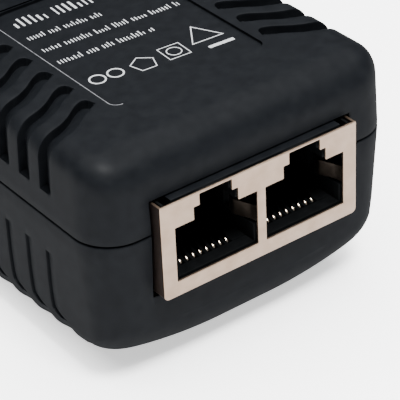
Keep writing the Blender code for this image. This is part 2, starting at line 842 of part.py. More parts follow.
def make_input_parts():
    finish_object("fuse", turned_mesh(((1.9, -5.0), (1.9, 5.0)), (15.6, 74.0, PART_Z + 2.2), "Y", 12),
                  steel(), 40)
    box("x_capacitor", (-6.5, 49.5, PART_Z), (6.5, 55.0, PART_Z + 11.0), film_yellow())
    section = [(4.6 + 1.7 * math.cos(k * math.pi / 4), 2.6 + 2.2 * math.sin(k * math.pi / 4))
               for k in range(8)]
    finish_object("common_mode_choke", ring_mesh(section, (0.0, 61.8, PART_Z)), copper(), 60)
    box("bridge_rectifier", (12.2, 48.5, PART_Z), (16.4, 56.5, PART_Z + 9.0), chip_black())
    make_lying_can("input_capacitor", (0.0, 75.4, PART_Z + 6.3), 6.0, 20.0, sleeve_black())


def make_switch():
    box("heat_sink", (-17.4, 46.5, PART_Z), (-15.9, 59.5, PART_Z + 14.0), aluminium())
    box("switching_transistor", (-15.6, 48.0, PART_Z + 1.5), (-11.2, 58.0, PART_Z + 13.0), chip_black())


def make_feedback_parts():
    box("optocoupler", (-15.0, 31.0, PART_Z), (-8.5, 35.6, PART_Z + 3.5), chip_black())
    disc = turned_mesh(((3.2, -1.6), (4.0, -0.9), (4.0, 0.9), (3.2, 1.6)),
                       (-11.5, 41.5, PART_Z + 5.0), "Y")
    finish_object("y_capacitor", disc, ceramic_blue(), 40)


def make_output_parts():
    make_can("output_capacitor", -11.5, 23.0, 4.0, 13.0, sleeve_black())
    choke = turned_mesh(
        ((4.2, 0.0), (4.2, 1.5), (3.2, 1.8), (3.2, 7.2), (4.2, 7.5), (4.2, 9.0)),
        (0.0, 23.0, PART_Z))
    finish_object("output_choke", choke, copper(), 40)
    finish_object("output_diode",
                  turned_mesh(((2.3, -4.5), (2.6, -4.2), (2.6, 4.2), (2.3, 4.5)),
                              (11.0, 23.0, PART_Z + 2.9), "Y", 12), chip_black(), 40)


def main():
    clear_scene()
    make_upper_case()
    make_lower_case()
    make_jack_shield()
    make_jack_housing()
    make_contacts()
    make_ground_fingers()
    make_wall_plug()
    make_board()
    make_transformer(4.0, 38.5)
    make_input_parts()
    make_switch()
    make_feedback_parts()
    make_output_parts()


main()
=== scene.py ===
"""The looks of a wall-plug power-over-ethernet injector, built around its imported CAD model.

Sizes are in millimetres and follow the CAD model: X from the middle, Y from the port face toward
the back, Z up from the floor. at() turns such a point into metres in the frame. The visible case
is two moulded shells whose grid lines run along the grip grooves, so that every groove has a crisp
rim and a soft ramp. Angles are given in degrees and used in radians.
"""

import json
import math
import random
from collections import namedtuple

import bmesh
import bpy
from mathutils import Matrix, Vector


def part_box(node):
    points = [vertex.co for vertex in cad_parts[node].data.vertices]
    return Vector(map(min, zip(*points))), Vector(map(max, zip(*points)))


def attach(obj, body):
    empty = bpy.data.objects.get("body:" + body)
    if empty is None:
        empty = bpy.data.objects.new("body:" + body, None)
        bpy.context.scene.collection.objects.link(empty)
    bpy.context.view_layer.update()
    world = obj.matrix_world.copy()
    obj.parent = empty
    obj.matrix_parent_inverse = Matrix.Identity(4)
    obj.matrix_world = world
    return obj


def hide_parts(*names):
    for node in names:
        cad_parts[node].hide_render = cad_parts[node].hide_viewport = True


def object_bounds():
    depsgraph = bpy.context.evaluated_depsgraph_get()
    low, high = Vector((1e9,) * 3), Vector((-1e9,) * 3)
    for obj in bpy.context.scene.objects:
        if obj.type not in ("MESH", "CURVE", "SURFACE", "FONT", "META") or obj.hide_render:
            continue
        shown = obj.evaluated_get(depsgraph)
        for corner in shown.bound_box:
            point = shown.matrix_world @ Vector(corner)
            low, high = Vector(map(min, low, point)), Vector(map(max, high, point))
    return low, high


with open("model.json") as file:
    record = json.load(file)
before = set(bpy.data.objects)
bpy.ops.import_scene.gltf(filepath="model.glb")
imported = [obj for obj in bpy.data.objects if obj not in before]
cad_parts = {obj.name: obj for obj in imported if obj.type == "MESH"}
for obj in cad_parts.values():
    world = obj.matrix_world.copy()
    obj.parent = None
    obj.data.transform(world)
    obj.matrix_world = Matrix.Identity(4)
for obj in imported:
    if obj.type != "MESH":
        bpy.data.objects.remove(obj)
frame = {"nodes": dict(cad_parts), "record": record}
cad_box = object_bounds()

MM = 0.001
FACE_Y = cad_box[0][1] / MM


def at(x, y, z):
    return Vector((x, y + FACE_Y, z)) * MM


def measured(point):
    """The inverse of at()."""
    return Vector((point.x / MM, point.y / MM - FACE_Y, point.z / MM))


def extent(node):
    """Lowest and highest corner of a CAD node."""
    return [measured(corner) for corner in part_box(node)]


# ---- sizes

UPPER_LOW, UPPER_HIGH = extent("upper_case")
JACK_LOW, JACK_HIGH = extent("jack_shield")
STEM_TOP = extent("plug_stem")[1].z
PIN_LOW, PIN_HIGH = extent("plug_pin_right")
SLEEVE_LOW, SLEEVE_HIGH = extent("pin_sleeve_right")

GAP = 0.3
CASE_HALF = UPPER_HIGH.x
CASE_FRONT = UPPER_LOW.y
CASE_BACK = UPPER_HIGH.y
CASE_TOP = UPPER_HIGH.z
CASE_CORNER = 5.4
WALL = 2.2
INNER_CORNER = (1.6, 0.6)    # what the inside cuts off its corners, across and in height
UPPER_SEAM = UPPER_LOW.z
LOWER_SEAM = UPPER_SEAM - GAP
SEAM_EDGE = 0.16             # rounding of the two rims that meet at the seam
LIP_INSET = 0.9
LIP_HEIGHT = 1.15
TOP_DRAFT = (0.26, 0.29)     # lean of the wall, front and side
TOP_ROUND = (4.8, 3.0)       # radius of the edge, front and side
LOW_DRAFT = (0.8, 1.05)
LOW_ROUND = (5.0, 2.2)
LOW_CORNER_GROWTH = 1.5
CROWN_FLAT = 4.0
CROWN_RADIUS = 54.0
END_RISE = 2.45
END_RISE_LENGTH = 40.0
EDGE_STEPS = 14
ARC_STEPS = 14

LABEL_HALF = 11.66
LABEL_Y = (13.2, 42.5)
LABEL_FLOOR = CASE_TOP - 0.45
LABEL_EDGE = 0.05
LABEL_RADII = (1.3, 3.3)
CORNER_STEPS = 8
LABEL_MARGIN = 0.5           # flat land between the recess and the grid around it

GROOVES = 8
PITCH = 4.55
GROOVE_BACK = 15.9           # back edge of the first upper groove, before the grid bends
GROOVE_END_Z = 25.6
GROOVE_DEPTH = 1.15
RIB_BACK = 14.3
RIB_TOP_Z = 16.3
RIB_DEPTH = 0.48

JACK_HALF = JACK_HIGH.x
JACK_BASE = JACK_LOW.z
JACK_TOP = JACK_HIGH.z
JACK_HEIGHT = JACK_TOP - JACK_BASE
SHEET = 0.35
WINDOW_HALF = JACK_HALF + GAP
WINDOW_LOW = JACK_BASE - GAP
WINDOW_HIGH = JACK_TOP + GAP
WINDOW_EDGE = 0.12
HOLE_EDGE = 0.12             # softened rims round the stem and the pins

PORT_X = 6.8
PORT_HALF = 6.15
CAVITY_HALF = 5.95
PORT_FLOOR = 2.1             # heights inside the jack count from its underside
PORT_SHOULDER = 9.75
STEP_HALF = 3.3
STEP_TOP = 11.5
NOTCH_HALF = 2.4
NOTCH_TOP = 13.05
PORTS = (("left", -PORT_X), ("right", PORT_X))
CONTACT_PITCH = 1.016
CONTACT_X = [(index - 3.5) * CONTACT_PITCH for index in range(8)]
CONTACT_RADIUS = 0.23
CONTACT_PATH = ((2.95, 1.35), (3.0, 2.0), (4.3, 2.85), (12.2, 4.75))   # (Y, height in the jack)
CONTACT_PAINTED_SHADE = (3.02, 3.3)  # where along Y the wires' colour fades to black: painted shade toward the port's inside

PLUG_Y = (PIN_LOW.y + PIN_HIGH.y) / 2
PIN_X = (PIN_LOW.x + PIN_HIGH.x) / 2
PIN_RADIUS = (PIN_HIGH.x - PIN_LOW.x) / 2


# ---- helpers

def runs(*marks):
    """Values through (start, step) marks; a mark's step holds up to the next mark."""
    values = []
    for (start, step), (end, _) in zip(marks, marks[1:]):
        count = max(1, round((end - start) / step))
        values += [start + (end - start) * i / count for i in range(count)]
    return values + [marks[-1][0]]


def interpolate(points, x):
    """Smooth curve through (x, y) points, flat beyond both ends."""
    if x <= points[0][0]:
        return points[0][1]
    if x >= points[-1][0]:
        return points[-1][1]
    index = next(i for i in range(1, len(points)) if x <= points[i][0])
    (x0, y0), (x1, y1) = points[index - 1], points[index]

    def slope(i):
        if i in (0, len(points) - 1):
            return 0.0
        return (points[i + 1][1] - points[i - 1][1]) / (points[i + 1][0] - points[i - 1][0])

    span = x1 - x0
    t = (x - x0) / span
    a, b = slope(index - 1) * span, slope(index) * span
    return ((2 * t**3 - 3 * t**2 + 1) * y0 + (t**3 - 2 * t**2 + t) * a
            + (3 * t**2 - 2 * t**3) * y1 + (t**3 - t**2) * b)


def linear(points, x):
    """Straight segments through (x, y) points sorted by x, flat beyond both ends."""
    if x <= points[0][0]:
        return points[0][1]
    for (x0, y0), (x1, y1) in zip(points, points[1:]):
        if x <= x1:
            return y0 + (y1 - y0) * (x - x0) / (x1 - x0)
    return points[-1][1]


def smooth(low, high, x):
    t = min(1.0, max(0.0, (x - low) / (high - low)))
    return t * t * (3 - 2 * t)


def mix(pair, t):
    return pair[0] + (pair[1] - pair[0]) * t


def shown(name, data):
    """A new object in the scene."""
    obj = bpy.data.objects.new(name, data)
    bpy.context.scene.collection.objects.link(obj)
    return obj


def piece(name, form, mat, body="case", replaces=None, sharp=32):
    """Turns a bmesh into a shown piece that rides on a CAD body."""
    bmesh.ops.recalc_face_normals(form, faces=form.faces)
    mesh = bpy.data.meshes.new(name)
    form.to_mesh(mesh)
    form.free()
    mesh.materials.append(mat)
    mesh.shade_smooth()
    mesh.set_sharp_from_angle(angle=math.radians(sharp))
    obj = shown(name, mesh)
    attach(obj, body)
    if replaces:
        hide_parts(replaces)
    return obj


def refinish(obj, mat, chosen):
    """Gives the faces that chosen(center, normal) picks a finish of their own."""
    obj.data.materials.append(mat)
    for polygon in obj.data.polygons:
        if chosen(measured(polygon.center), polygon.normal):
            polygon.material_index = 1


def middle_of(vertices):
    return measured(sum((v.co for v in vertices), Vector()) / len(vertices))


def add_loop(form, points):
    return [form.verts.new(p) for p in points]


def around(loop):
    """Each item with the next one, and the last with the first."""
    return zip(loop, loop[1:] + loop[:1])


def bridge(form, loops):
    for first, second in zip(loops, loops[1:]):
        for (a, b), (c, d) in zip(around(first), around(second)):
            form.faces.new((a, b, d, c))


def skin(form, loops):
    """Closes a row of loops into one body."""
    bridge(form, loops)
    form.faces.new(loops[0])
    form.faces.new(loops[-1])
    return form


def fill_between(form, outer, *holes):
    """Fills flat ground between an outer loop and the holes in it."""
    edges = [form.edges.get(pair) or form.edges.new(pair)
             for loop in (outer, *holes) for pair in around(loop)]
    bmesh.ops.triangle_fill(form, use_beauty=True, use_dissolve=False, edges=edges)


def fillet(points, radii, steps=6):
    """A closed polygon with its corners rounded by arcs of the given radii."""
    if not isinstance(radii, (list, tuple)):
        radii = [radii] * len(points)
    result = []
    for i, corner in enumerate(points):
        corner = Vector(corner)
        before, after = (Vector(points[k % len(points)]) - corner for k in (i - 1, i + 1))
        half = before.angle(after) / 2
        before.normalize()
        after.normalize()
        cut = radii[i] / math.tan(half)
        center = corner + (before + after).normalized() * radii[i] / math.sin(half)
        a, b = corner + before * cut - center, corner + after * cut - center
        turn = a.angle_signed(b)
        for k in range(steps + 1):
            angle = -turn * k / steps
            c, s = math.cos(angle), math.sin(angle)
            result.append((center.x + a.x * c - a.y * s, center.y + a.x * s + a.y * c))
    return result


def fillet_path(points, radius, steps=6):
    """An open path with its inner corners rounded."""
    rounded = [points[0]]
    for before, corner, after in zip(points, points[1:], points[2:]):
        corner = Vector(corner)
        back, ahead = Vector(before) - corner, Vector(after) - corner
        cut = min(radius, back.length / 2.1, ahead.length / 2.1)
        start, end = corner + back.normalized() * cut, corner + ahead.normalized() * cut
        for k in range(steps + 1):
            t = k / steps
            rounded.append(tuple(start * (1 - t) ** 2 + corner * 2 * t * (1 - t) + end * t * t))
    return rounded + [points[-1]]


def directions(path):
    """Unit vectors along a path, one for each of its points."""
    last = len(path) - 1
    return [(path[min(last, i + 1)] - path[max(0, i - 1)]).normalized() for i in range(last + 1)]


def strip(path, right, left):
    """Outline of a strip that runs along a path, between two distances to its left."""
    path = [Vector(p) for p in path]
    normals = [Vector((-along.y, along.x)) for along in directions(path)]
    sides = [[tuple(p + n * distance) for p, n in zip(path, normals)] for distance in (right, left)]
    return sides[0] + sides[1][::-1]


def slab(outline, holes, low, high, place, bevel=0.0):
    """Mesh of a flat plate with holes and softened edges.

    place(u, v, w) puts outline point (u, v) at height w, as at() does for an outline in plan.
    low and high are the heights of its faces.
    """
    curve = bpy.data.curves.new("slab", "CURVE")
    curve.dimensions = "2D"
    curve.fill_mode = "BOTH"
    curve.extrude = (high - low) / 2 - bevel
    curve.bevel_depth = bevel
    curve.bevel_resolution = 2
    curve.offset = -bevel
    for points in [outline, *holes]:
        spline = curve.splines.new("POLY")
        spline.points.add(len(points) - 1)
        for target, (u, v) in zip(spline.points, points):
            target.co = (u, v, 0.0, 1.0)
        spline.use_cyclic_u = True
    holder = shown("slab", curve)
    depsgraph = bpy.context.evaluated_depsgraph_get()
    mesh = bpy.data.meshes.new_from_object(holder.evaluated_get(depsgraph), depsgraph=depsgraph)
    bpy.data.objects.remove(holder)
    bpy.data.curves.remove(curve)
    middle = (high + low) / 2
    for vertex in mesh.vertices:
        u, v, w = vertex.co
        vertex.co = place(u, v, w + middle)
    return mesh


def joined(*meshes):
    form = bmesh.new()
    for mesh in meshes:
        form.from_mesh(mesh)
        bpy.data.meshes.remove(mesh)
    bmesh.ops.remove_doubles(form, verts=form.verts, dist=1e-7)
    return form


def facing(x, z, y):
    """Places a plate that stands across the case, seen from the port face."""
    return at(x, y, z)


# ---- materials

NOISE_RANGE = (0.3, 0.7)     # the part of the noise's range that a finish spreads over


def nodes_of(name):
    """A new material under that name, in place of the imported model's plain one."""
    plain_one = bpy.data.materials.get(name)
    if plain_one:
        bpy.data.materials.remove(plain_one)
    mat = bpy.data.materials.new(name)
    mat.use_nodes = True
    return mat, mat.node_tree.nodes, mat.node_tree.nodes["Principled BSDF"]


def link(source, output, node, socket):
    node.id_data.links.new(source.outputs[output], node.inputs[socket])


def set_inputs(node, **values):
    """Sets sockets by name, with underscores for the spaces."""
    for name, value in values.items():
        node.inputs[name.replace("_", " ")].default_value = value


def remap(nodes, source, ends):
    """A node that maps the range source onto the range ends."""
    node = nodes.new("ShaderNodeMapRange")
    set_inputs(node, From_Min=source[0], From_Max=source[1], To_Min=ends[0], To_Max=ends[1])
    return node


def surface(name, colors, grain, roughness, bump=(0.0, 1.0), metallic=0.0, coat=0.0,
            coat_roughness=0.25, stretch=(1, 1, 1), specular=0.5):
    """A procedural finish.

    colors: two ends of the colour variation. grain: size in millimetres of that variation.
    roughness: its two ends. bump: height and size in millimetres of the fine relief.
    """
    mat, nodes, shader = nodes_of(name)
    set_inputs(shader, Metallic=metallic, Specular_IOR_Level=specular, Coat_Weight=coat,
               Coat_Roughness=coat_roughness)
    place = nodes.new("ShaderNodeTexCoord")
    scale = nodes.new("ShaderNodeMapping")
    set_inputs(scale, Scale=stretch)
    link(place, "Object", scale, "Vector")

    def noise(size, detail=3.0):
        node = nodes.new("ShaderNodeTexNoise")
        set_inputs(node, Scale=1 / (size * MM), Detail=detail)
        link(scale, "Vector", node, "Vector")
        return node

    broad = noise(grain)
    ramp = nodes.new("ShaderNodeValToRGB")
    for element, position, color in zip(ramp.color_ramp.elements, NOISE_RANGE, colors):
        element.position = position
        element.color = (*color, 1.0)
    link(broad, "Fac", ramp, "Fac")
    link(ramp, "Color", shader, "Base Color")

    fine = noise(bump[1], 2.0)
    spread = remap(nodes, NOISE_RANGE, roughness)
    link(fine, "Fac", spread, "Value")
    link(spread, "Result", shader, "Roughness")
    if bump[0]:
        relief = nodes.new("ShaderNodeBump")
        set_inputs(relief, Distance=bump[0] * MM, Strength=1.0)
        link(fine, "Fac", relief, "Height")
        link(relief, "Normal", shader, "Normal")
        link(relief, "Normal", shader, "Coat Normal")
    return mat


def paint_shade_inward(mat, start, end):
    """Paints shade into a finish along Y: full colour up to start, black past end."""
    nodes = mat.node_tree.nodes
    shader = nodes["Principled BSDF"]
    place = nodes.new("ShaderNodeTexCoord")
    split = nodes.new("ShaderNodeSeparateXYZ")
    link(place, "Object", split, "Vector")
    along = remap(nodes, [at(0, y, 0).y for y in (start, end)], (1.0, 0.0))
    link(split, "Y", along, "Value")
    tint = nodes.new("ShaderNodeVectorMath")
    tint.operation = "SCALE"
    link(shader.inputs["Base Color"].links[0].from_node, "Color", tint, 0)
    link(along, "Result", tint, "Scale")
    link(tint, "Vector", shader, "Base Color")


CASE_PLASTIC = surface("case_plastic", ((0.0026, 0.0030, 0.0037), (0.0040, 0.0045, 0.0053)), 1.6,
                       (0.38, 0.5), (0.006, 0.16), coat=0.06, coat_roughness=0.42, specular=0.0)
# Painted shade: a darker, rougher copy of the case plastic without its coat, for the walls of the
# grooves and the label's recess where shade falls.
CASE_PAINTED_SHADE = surface("case_painted_shade", ((0.0016, 0.0018, 0.0022), (0.0026, 0.0029, 0.0034)), 1.6,
                      (0.5, 0.62), (0.006, 0.16), specular=0.0)
JACK_PLASTIC = surface("jack_plastic", ((0.0015, 0.0017, 0.0018), (0.0024, 0.0026, 0.0028)), 1.2,
                       (0.45, 0.6), (0.008, 0.2), coat=0.045, coat_roughness=0.45, specular=0.0)
NICKEL = surface("nickel", ((0.170, 0.121, 0.089), (0.205, 0.152, 0.115)), 2.2, (0.36, 0.46),
                 (0.0025, 0.18), metallic=1.0)
# Painted shade: a darker copy of the nickel for the shield's side walls, which lie in shade beside the
# case.
SHIELD_SIDE_PAINTED_SHADE = surface("shield_side_painted_shade", ((0.130, 0.095, 0.083), (0.160, 0.120, 0.106)), 2.2, (0.3, 0.34),
                      metallic=1.0)
# Painted shade: the spring fingers' metal is much darker than the nickel, for the shade inside the
# ports.
SPRING_PAINTED_SHADE = surface("spring_metal_painted_shade", ((0.034, 0.027, 0.022), (0.064, 0.052, 0.042)), 1.2, (0.3, 0.42),
                 (0.0025, 0.18), metallic=1.0)
GOLD = surface("gold_contact", ((0.50, 0.42, 0.33), (0.60, 0.51, 0.41)), 0.8, (0.09, 0.14),
               (0.0006, 0.1), metallic=1.0)
# Painted shade: the contact wires fade to black deeper in the port.
paint_shade_inward(GOLD, *CONTACT_PAINTED_SHADE)
STEEL = surface("steel", ((0.36, 0.355, 0.35), (0.46, 0.455, 0.45)), 1.5, (0.18, 0.3), (0.002, 0.2),
                metallic=1.0, stretch=(1, 1, 0.1))
INK = surface("label_ink", ((0.20, 0.205, 0.21), (0.30, 0.305, 0.31)), 0.35, (0.5, 0.65),
              (0.004, 0.1))
# Painted highlight: pale grey for the line where the left rim of the label's recess catches the light.
EDGE_HIGHLIGHT_PAINT = surface("painted_edge_highlight", ((0.03, 0.031, 0.034), (0.09, 0.092, 0.096)), 0.9, (0.4, 0.5),
                    (0.004, 0.1))
INNER_FINISHES = (
    surface("copper_wire", ((0.50, 0.20, 0.08), (0.66, 0.30, 0.14)), 0.8, (0.25, 0.4), (0.05, 0.5),
            metallic=1.0, stretch=(1, 1, 3)),
    surface("board_green", ((0.012, 0.10, 0.045), (0.02, 0.14, 0.06)), 2.5, (0.25, 0.4), (0.01, 0.4),
            coat=0.4),
    surface("ferrite", ((0.035, 0.035, 0.04), (0.06, 0.06, 0.065)), 0.7, (0.5, 0.7), (0.03, 0.25)),
    surface("winding_tape", ((0.70, 0.46, 0.04), (0.82, 0.58, 0.08)), 3.0, (0.22, 0.35), (0.01, 1.0),
            coat=0.5),
    surface("film_box", ((0.70, 0.56, 0.12), (0.78, 0.64, 0.18)), 2.0, (0.3, 0.45), (0.01, 0.3)),
    surface("capacitor_sleeve", ((0.012, 0.014, 0.04), (0.02, 0.024, 0.06)), 2.0, (0.2, 0.32),
            (0.008, 0.6), coat=0.6),
    surface("ceramic_blue", ((0.02, 0.12, 0.40), (0.03, 0.17, 0.50)), 1.5, (0.3, 0.45), (0.02, 0.5)),
    surface("chip_black", ((0.016, 0.016, 0.017), (0.028, 0.028, 0.029)), 0.8, (0.5, 0.65),
            (0.01, 0.12)),
    surface("aluminium", ((0.66, 0.67, 0.69), (0.76, 0.77, 0.79)), 1.2, (0.3, 0.45), (0.004, 0.3),
            metallic=1.0, stretch=(1, 1, 0.08)),
    surface("lead_insulation", ((0.35, 0.02, 0.02), (0.46, 0.035, 0.03)), 1.5, (0.35, 0.5),
            (0.008, 0.3)),
)


# ---- case shape

# A point of the plan outline with its outward normal; side is true on the long sides.
Station = namedtuple("Station", "x y nx ny side")
# A ring of a shell: inset(nx) from the outline, height(nx, x, y), turn round the edge in radians,
# run along the surface (what the bend of the rows follows), and growth of the corners.
Level = namedtuple("Level", "inset height turn run growth", defaults=(0.0,))
FAR_RUN = 99.0               # a run past the end of every bend


def face_crown(x, y):
    """Rise of the underside away from its lowest strip."""
    end = min(y - CASE_FRONT, CASE_BACK - y)
    across = max(0.0, abs(x) - CROWN_FLAT) ** 2 / (2 * CROWN_RADIUS)
    return across + END_RISE * max(0.0, 1 - end / END_RISE_LENGTH) ** 2


class Net:
    """Plan grid of a shell: columns across the ends, rows along the sides, arcs at the corners."""

    def __init__(self, columns, rows):
        self.columns = [-f for f in reversed(columns[1:])] + columns
        self.rows = rows
        self.last_column = len(self.columns) - 1
        self.side_start = self.last_column + ARC_STEPS
        self.back_start = self.side_start + len(rows) + ARC_STEPS - 1

    def loop(self, growth=0.0):
        """Stations round the case, from the front edge's left end; growth opens the corners."""
        corner = CASE_CORNER + growth
        straight = CASE_HALF - corner
        arc = []
        for i in range(1, ARC_STEPS):
            angle = math.radians(90 * i / ARC_STEPS)
            sine, cosine = math.sin(angle), math.cos(angle)
            arc.append((straight + corner * sine, corner * (1 - cosine), sine, cosine))
        right = [Station(x, CASE_FRONT + d, s, -c, False) for x, d, s, c in arc]
        for y in self.rows:
            near = 1 - smooth(CASE_FRONT + CASE_CORNER, CASE_FRONT + 2 * CASE_CORNER, y)
            far = smooth(CASE_BACK - 2 * CASE_CORNER, CASE_BACK - CASE_CORNER, y)
            right.append(Station(CASE_HALF, y + growth * (near - far), 1.0, 0.0, True))
        right += [Station(x, CASE_BACK - d, s, c, False) for x, d, s, c in reversed(arc)]
        ends = [straight * f for f in self.columns]
        front = [Station(x, CASE_FRONT, 0.0, -1.0, False) for x in ends]
        back = [Station(x, CASE_BACK, 0.0, 1.0, False) for x in reversed(ends)]
        left = [s._replace(x=-s.x, nx=-s.nx) for s in reversed(right)]
        return front + right + back + left

    def arcs(self, ring):
        """The four corners of a ring, each with the two points that end it."""
        closed = ring + ring[:1]
        starts = (self.last_column, self.side_start + len(self.rows) - 1,
                  self.back_start + self.last_column, len(ring) - ARC_STEPS)
        return [closed[i:i + ARC_STEPS + 1] for i in starts]


class Grooves(namedtuple("Grooves", "back depth profile reach bend wave")):
    """Relief along the sides of a shell: how its rows bend, and how deep they sink.

    back: back edge of the first groove. profile: (distance toward the front, share of the depth).
    reach(run, z, distance): share of the depth there. bend: (run, shift in Y).
    wave(run, y, turn): depth of a wave under the grooves.
    """

    def rows(self):
        return [self.back + n * PITCH - w for n in range(GROOVES) for w, _ in self.profile]

    def move(self, run, y, z, turn):
        """Shift in Y and depth of the surface at a row."""
        fade = smooth(*SHEAR_FRONT, y) * (1 - smooth(*SHEAR_BACK, y))
        shift = interpolate(self.bend, run) * fade
        depth = self.wave(run, y, turn) * fade
        first, last = self.profile[0][0], self.profile[-1][0]
        index = math.ceil((y + first - self.back - 1e-6) / PITCH)
        distance = self.back + min(GROOVES - 1, max(0, index)) * PITCH - y
        if first < distance < last:
            share = linear(self.profile, distance) * self.reach(run, z, distance)
            depth += self.depth * share
        return shift, depth


def in_window(corners):
    middle = middle_of(corners)
    return (abs(middle.x) < WINDOW_HALF and WINDOW_LOW < middle.z < WINDOW_HIGH
            and middle.y < CASE_FRONT + 2 * WALL)


def window_edge(x, z):
    """How far the softened edge of the jack's window sinks at a point of the front wall."""
    outside = max(abs(x) - WINDOW_HALF, z - WINDOW_HIGH, WINDOW_LOW - z)
    return min(WINDOW_EDGE, max(0.0, WINDOW_EDGE - outside))


def add_ring(form, net, level, grooves, up):
    ring = []
    for station, base in zip(net.loop(level.growth), net.loop()):
        inset = level.inset(station.nx)
        x = station.x - station.nx * inset
        y = station.y - station.ny * inset
        z = level.height(station.nx, x, y)
        if station.side:
            shift, sink = grooves.move(level.run, base.y, z, level.turn)
            y += shift
            x -= math.copysign(1.0, x) * sink * math.cos(level.turn)
            z -= up * sink * math.sin(level.turn)
        elif station.ny == -1.0:
            y += window_edge(x, z)
        ring.append(form.verts.new(at(x, y, z)))
    return ring


def join_rings(form, net, rings):
    for first, second in zip(rings, rings[1:]):
        for stations, (a, b), (c, d) in zip(around(net.loop()), around(first), around(second)):
            front = all(station.ny == -1.0 for station in stations)
            if not (front and in_window((a, b, d, c))):
                form.faces.new((a, b, d, c))


def add_face(form, net, ring, growth, height_of, depth, grooves, up, holes=()):
    """Fills a ring with the net's rows and columns and returns the rows."""
    base = net.loop()
    grown = net.loop(growth)
    last = net.last_column
    rows = [ring[:last + 1]]
    for r in range(len(net.rows)):
        index = net.side_start + r
        half = ring[index].co.x / MM
        row = [ring[-(ARC_STEPS + r)]]
        for f in net.columns[1:-1]:
            x, y = half * f, grown[index].y
            z = height_of(depth, x, y)
            shift, sink = grooves.move(abs(x), base[index].y, z, math.pi / 2)
            row.append(form.verts.new(at(x, y + shift, z - up * sink)))
        rows.append(row + [ring[index]])
    rows.append([ring[net.back_start + last - j] for j in range(last + 1)])
    for first, second in zip(rows, rows[1:]):
        for j in range(last):
            corners = (first[j], first[j + 1], second[j + 1], second[j])
            middle = middle_of(corners)
            if not any(abs(middle.x) < half and low < middle.y < high
                       for half, low, high in holes):
                form.faces.new(corners)
    for arc in net.arcs(ring):
        form.faces.new(arc)
    return rows


def hole_border(net, rows, hole):
    """The loop of grid points round a rectangular hole (half width, low Y, high Y)."""
    half, low, high = hole
    middle = rows[len(rows) // 2][-1].co.x / MM
    right = min(range(len(net.columns)), key=lambda j: abs(net.columns[j] * middle - half))
    left = net.last_column - right
    near, far = (1 + min(range(len(net.rows)), key=lambda r: abs(net.rows[r] - y)) for y in (low, high))
    return (rows[near][left:right] + [row[right] for row in rows[near:far]]
            + rows[far][right:left:-1] + [row[left] for row in rows[far:near:-1]])


def window_reveal(form):
    """Turns the cut edge of the jack's window back into the wall."""
    def on_face(vertex):
        x, y, z = measured(vertex.co)
        return (y < CASE_FRONT + 0.6 and abs(x) < WINDOW_HALF + 0.01
                and WINDOW_LOW - 0.01 < z < WINDOW_HIGH + 0.01)

    edges = [e for e in form.edges if e.is_boundary and all(on_face(v) for v in e.verts)
             and abs(e.verts[0].co.y - e.verts[1].co.y) < 0.2 * MM]
    moved = bmesh.ops.extrude_edge_only(form, edges=edges)["geom"]
    for vertex in (g for g in moved if isinstance(g, bmesh.types.BMVert)):
        vertex.co.y += WALL * MM


def flat_level(inset, z, run=FAR_RUN):
    return Level(lambda nx: inset, lambda nx, x, y: z, 0.0, run)


def seam_levels(inset, seam, up, run):
    """Rings from the hidden lip round the small edge at the seam."""
    small = SEAM_EDGE * 0.3
    corners = ((inset, seam + LIP_HEIGHT), (inset, seam), (SEAM_EDGE, seam), (small, seam + up * small))
    return [flat_level(depth, z, run) for depth, z in corners]


def edge_levels(first, draft, rounding, height_of, run_of, growth=0.0):
    """Rings round the edge of a shell's flat; height_of(depth, x, y) counts depth from the flat."""
    levels = []
    for i in range(first, EDGE_STEPS + 1):
        turn = math.radians(90 * i / EDGE_STEPS)

        def inset(nx, turn=turn):
            return mix(draft, nx * nx) + mix(rounding, nx * nx) * (1 - math.cos(turn))

        def height(nx, x, y, turn=turn):
            return height_of(mix(rounding, nx * nx) * (1 - math.sin(turn)), x, y)

        levels.append(Level(inset, height, turn, run_of(turn), growth * math.sin(turn)))
    return levels


def below_top(depth, x, y):
    return CASE_TOP - depth


def above_crown(depth, x, y):
    return face_crown(x, y) + depth


# The upper shell's rows follow its grooves: inward end, diagonal run, then straight down the side.
# A run counts from the middle of the case outward and down, and on the lower shell from the seam.
SHEAR_FRONT = (7.0, 12.0)    # the bend grows over the first stretch and fades over the second
SHEAR_BACK = (48.5, 54.0)
ROW_ROOM = 0.25
GROOVE_BEND = ((12.7, -0.35), (12.85, -0.1), (13.0, 0.5), (13.2, 0.85), (13.5, 1.05), (13.9, 1.13),
               (15.1, 0.6), (17.3, -1.0), (19.35, -2.0), (21.0, -2.15))
GROOVE_START = (12.7, 12.82)
GROOVE_END = ((12.8, 0.0), (13.0, 0.9), (13.3, 1.65), (13.96, 2.35), (14.3, 2.7), (14.4, 9.0))
GROOVE_PROFILE = ((-0.14, 0.0), (-0.05, 0.02), (0.0, 0.08), (0.04, 0.24), (0.05, 0.86), (0.1, 0.97),
                  (0.3, 0.95), (0.6, 0.82), (0.9, 0.68), (1.2, 0.54), (1.5, 0.40), (1.8, 0.27),
                  (2.1, 0.14), (2.25, 0.07), (2.35, 0.02), (2.45, 0.0))
RIB_PROFILE = ((-0.1, 0.0), (-0.03, 0.04), (0.0, 0.16), (0.03, 0.8), (0.06, 1.0), (0.24, 1.0),
               (0.28, 0.6), (0.8, 0.4), (1.3, 0.18), (1.8, 0.0))
RIB_BEND = ((5.5, 0.0), (8.1, 0.3), (10.1, 0.55), (12.6, 0.75), (14.2, 0.85), (15.0, 0.8), (15.5, 0.6),
            (15.8, 0.2), (16.0, -0.25), (16.2, -0.9), (16.4, -1.7), (16.6, -2.3), (16.8, -2.5))
RIB_TOP_FADE = 0.25
RIB_END = (16.3, 16.45)
WAVE_DEPTH = 0.26            # the lower edge dips a little below each rib
WAVE_FIRST = RIB_BACK + 0.9  # the dip nearest the port face
WAVE_RUN = (16.0, 17.4)
WAVE_TURN = (0.9, 1.4)
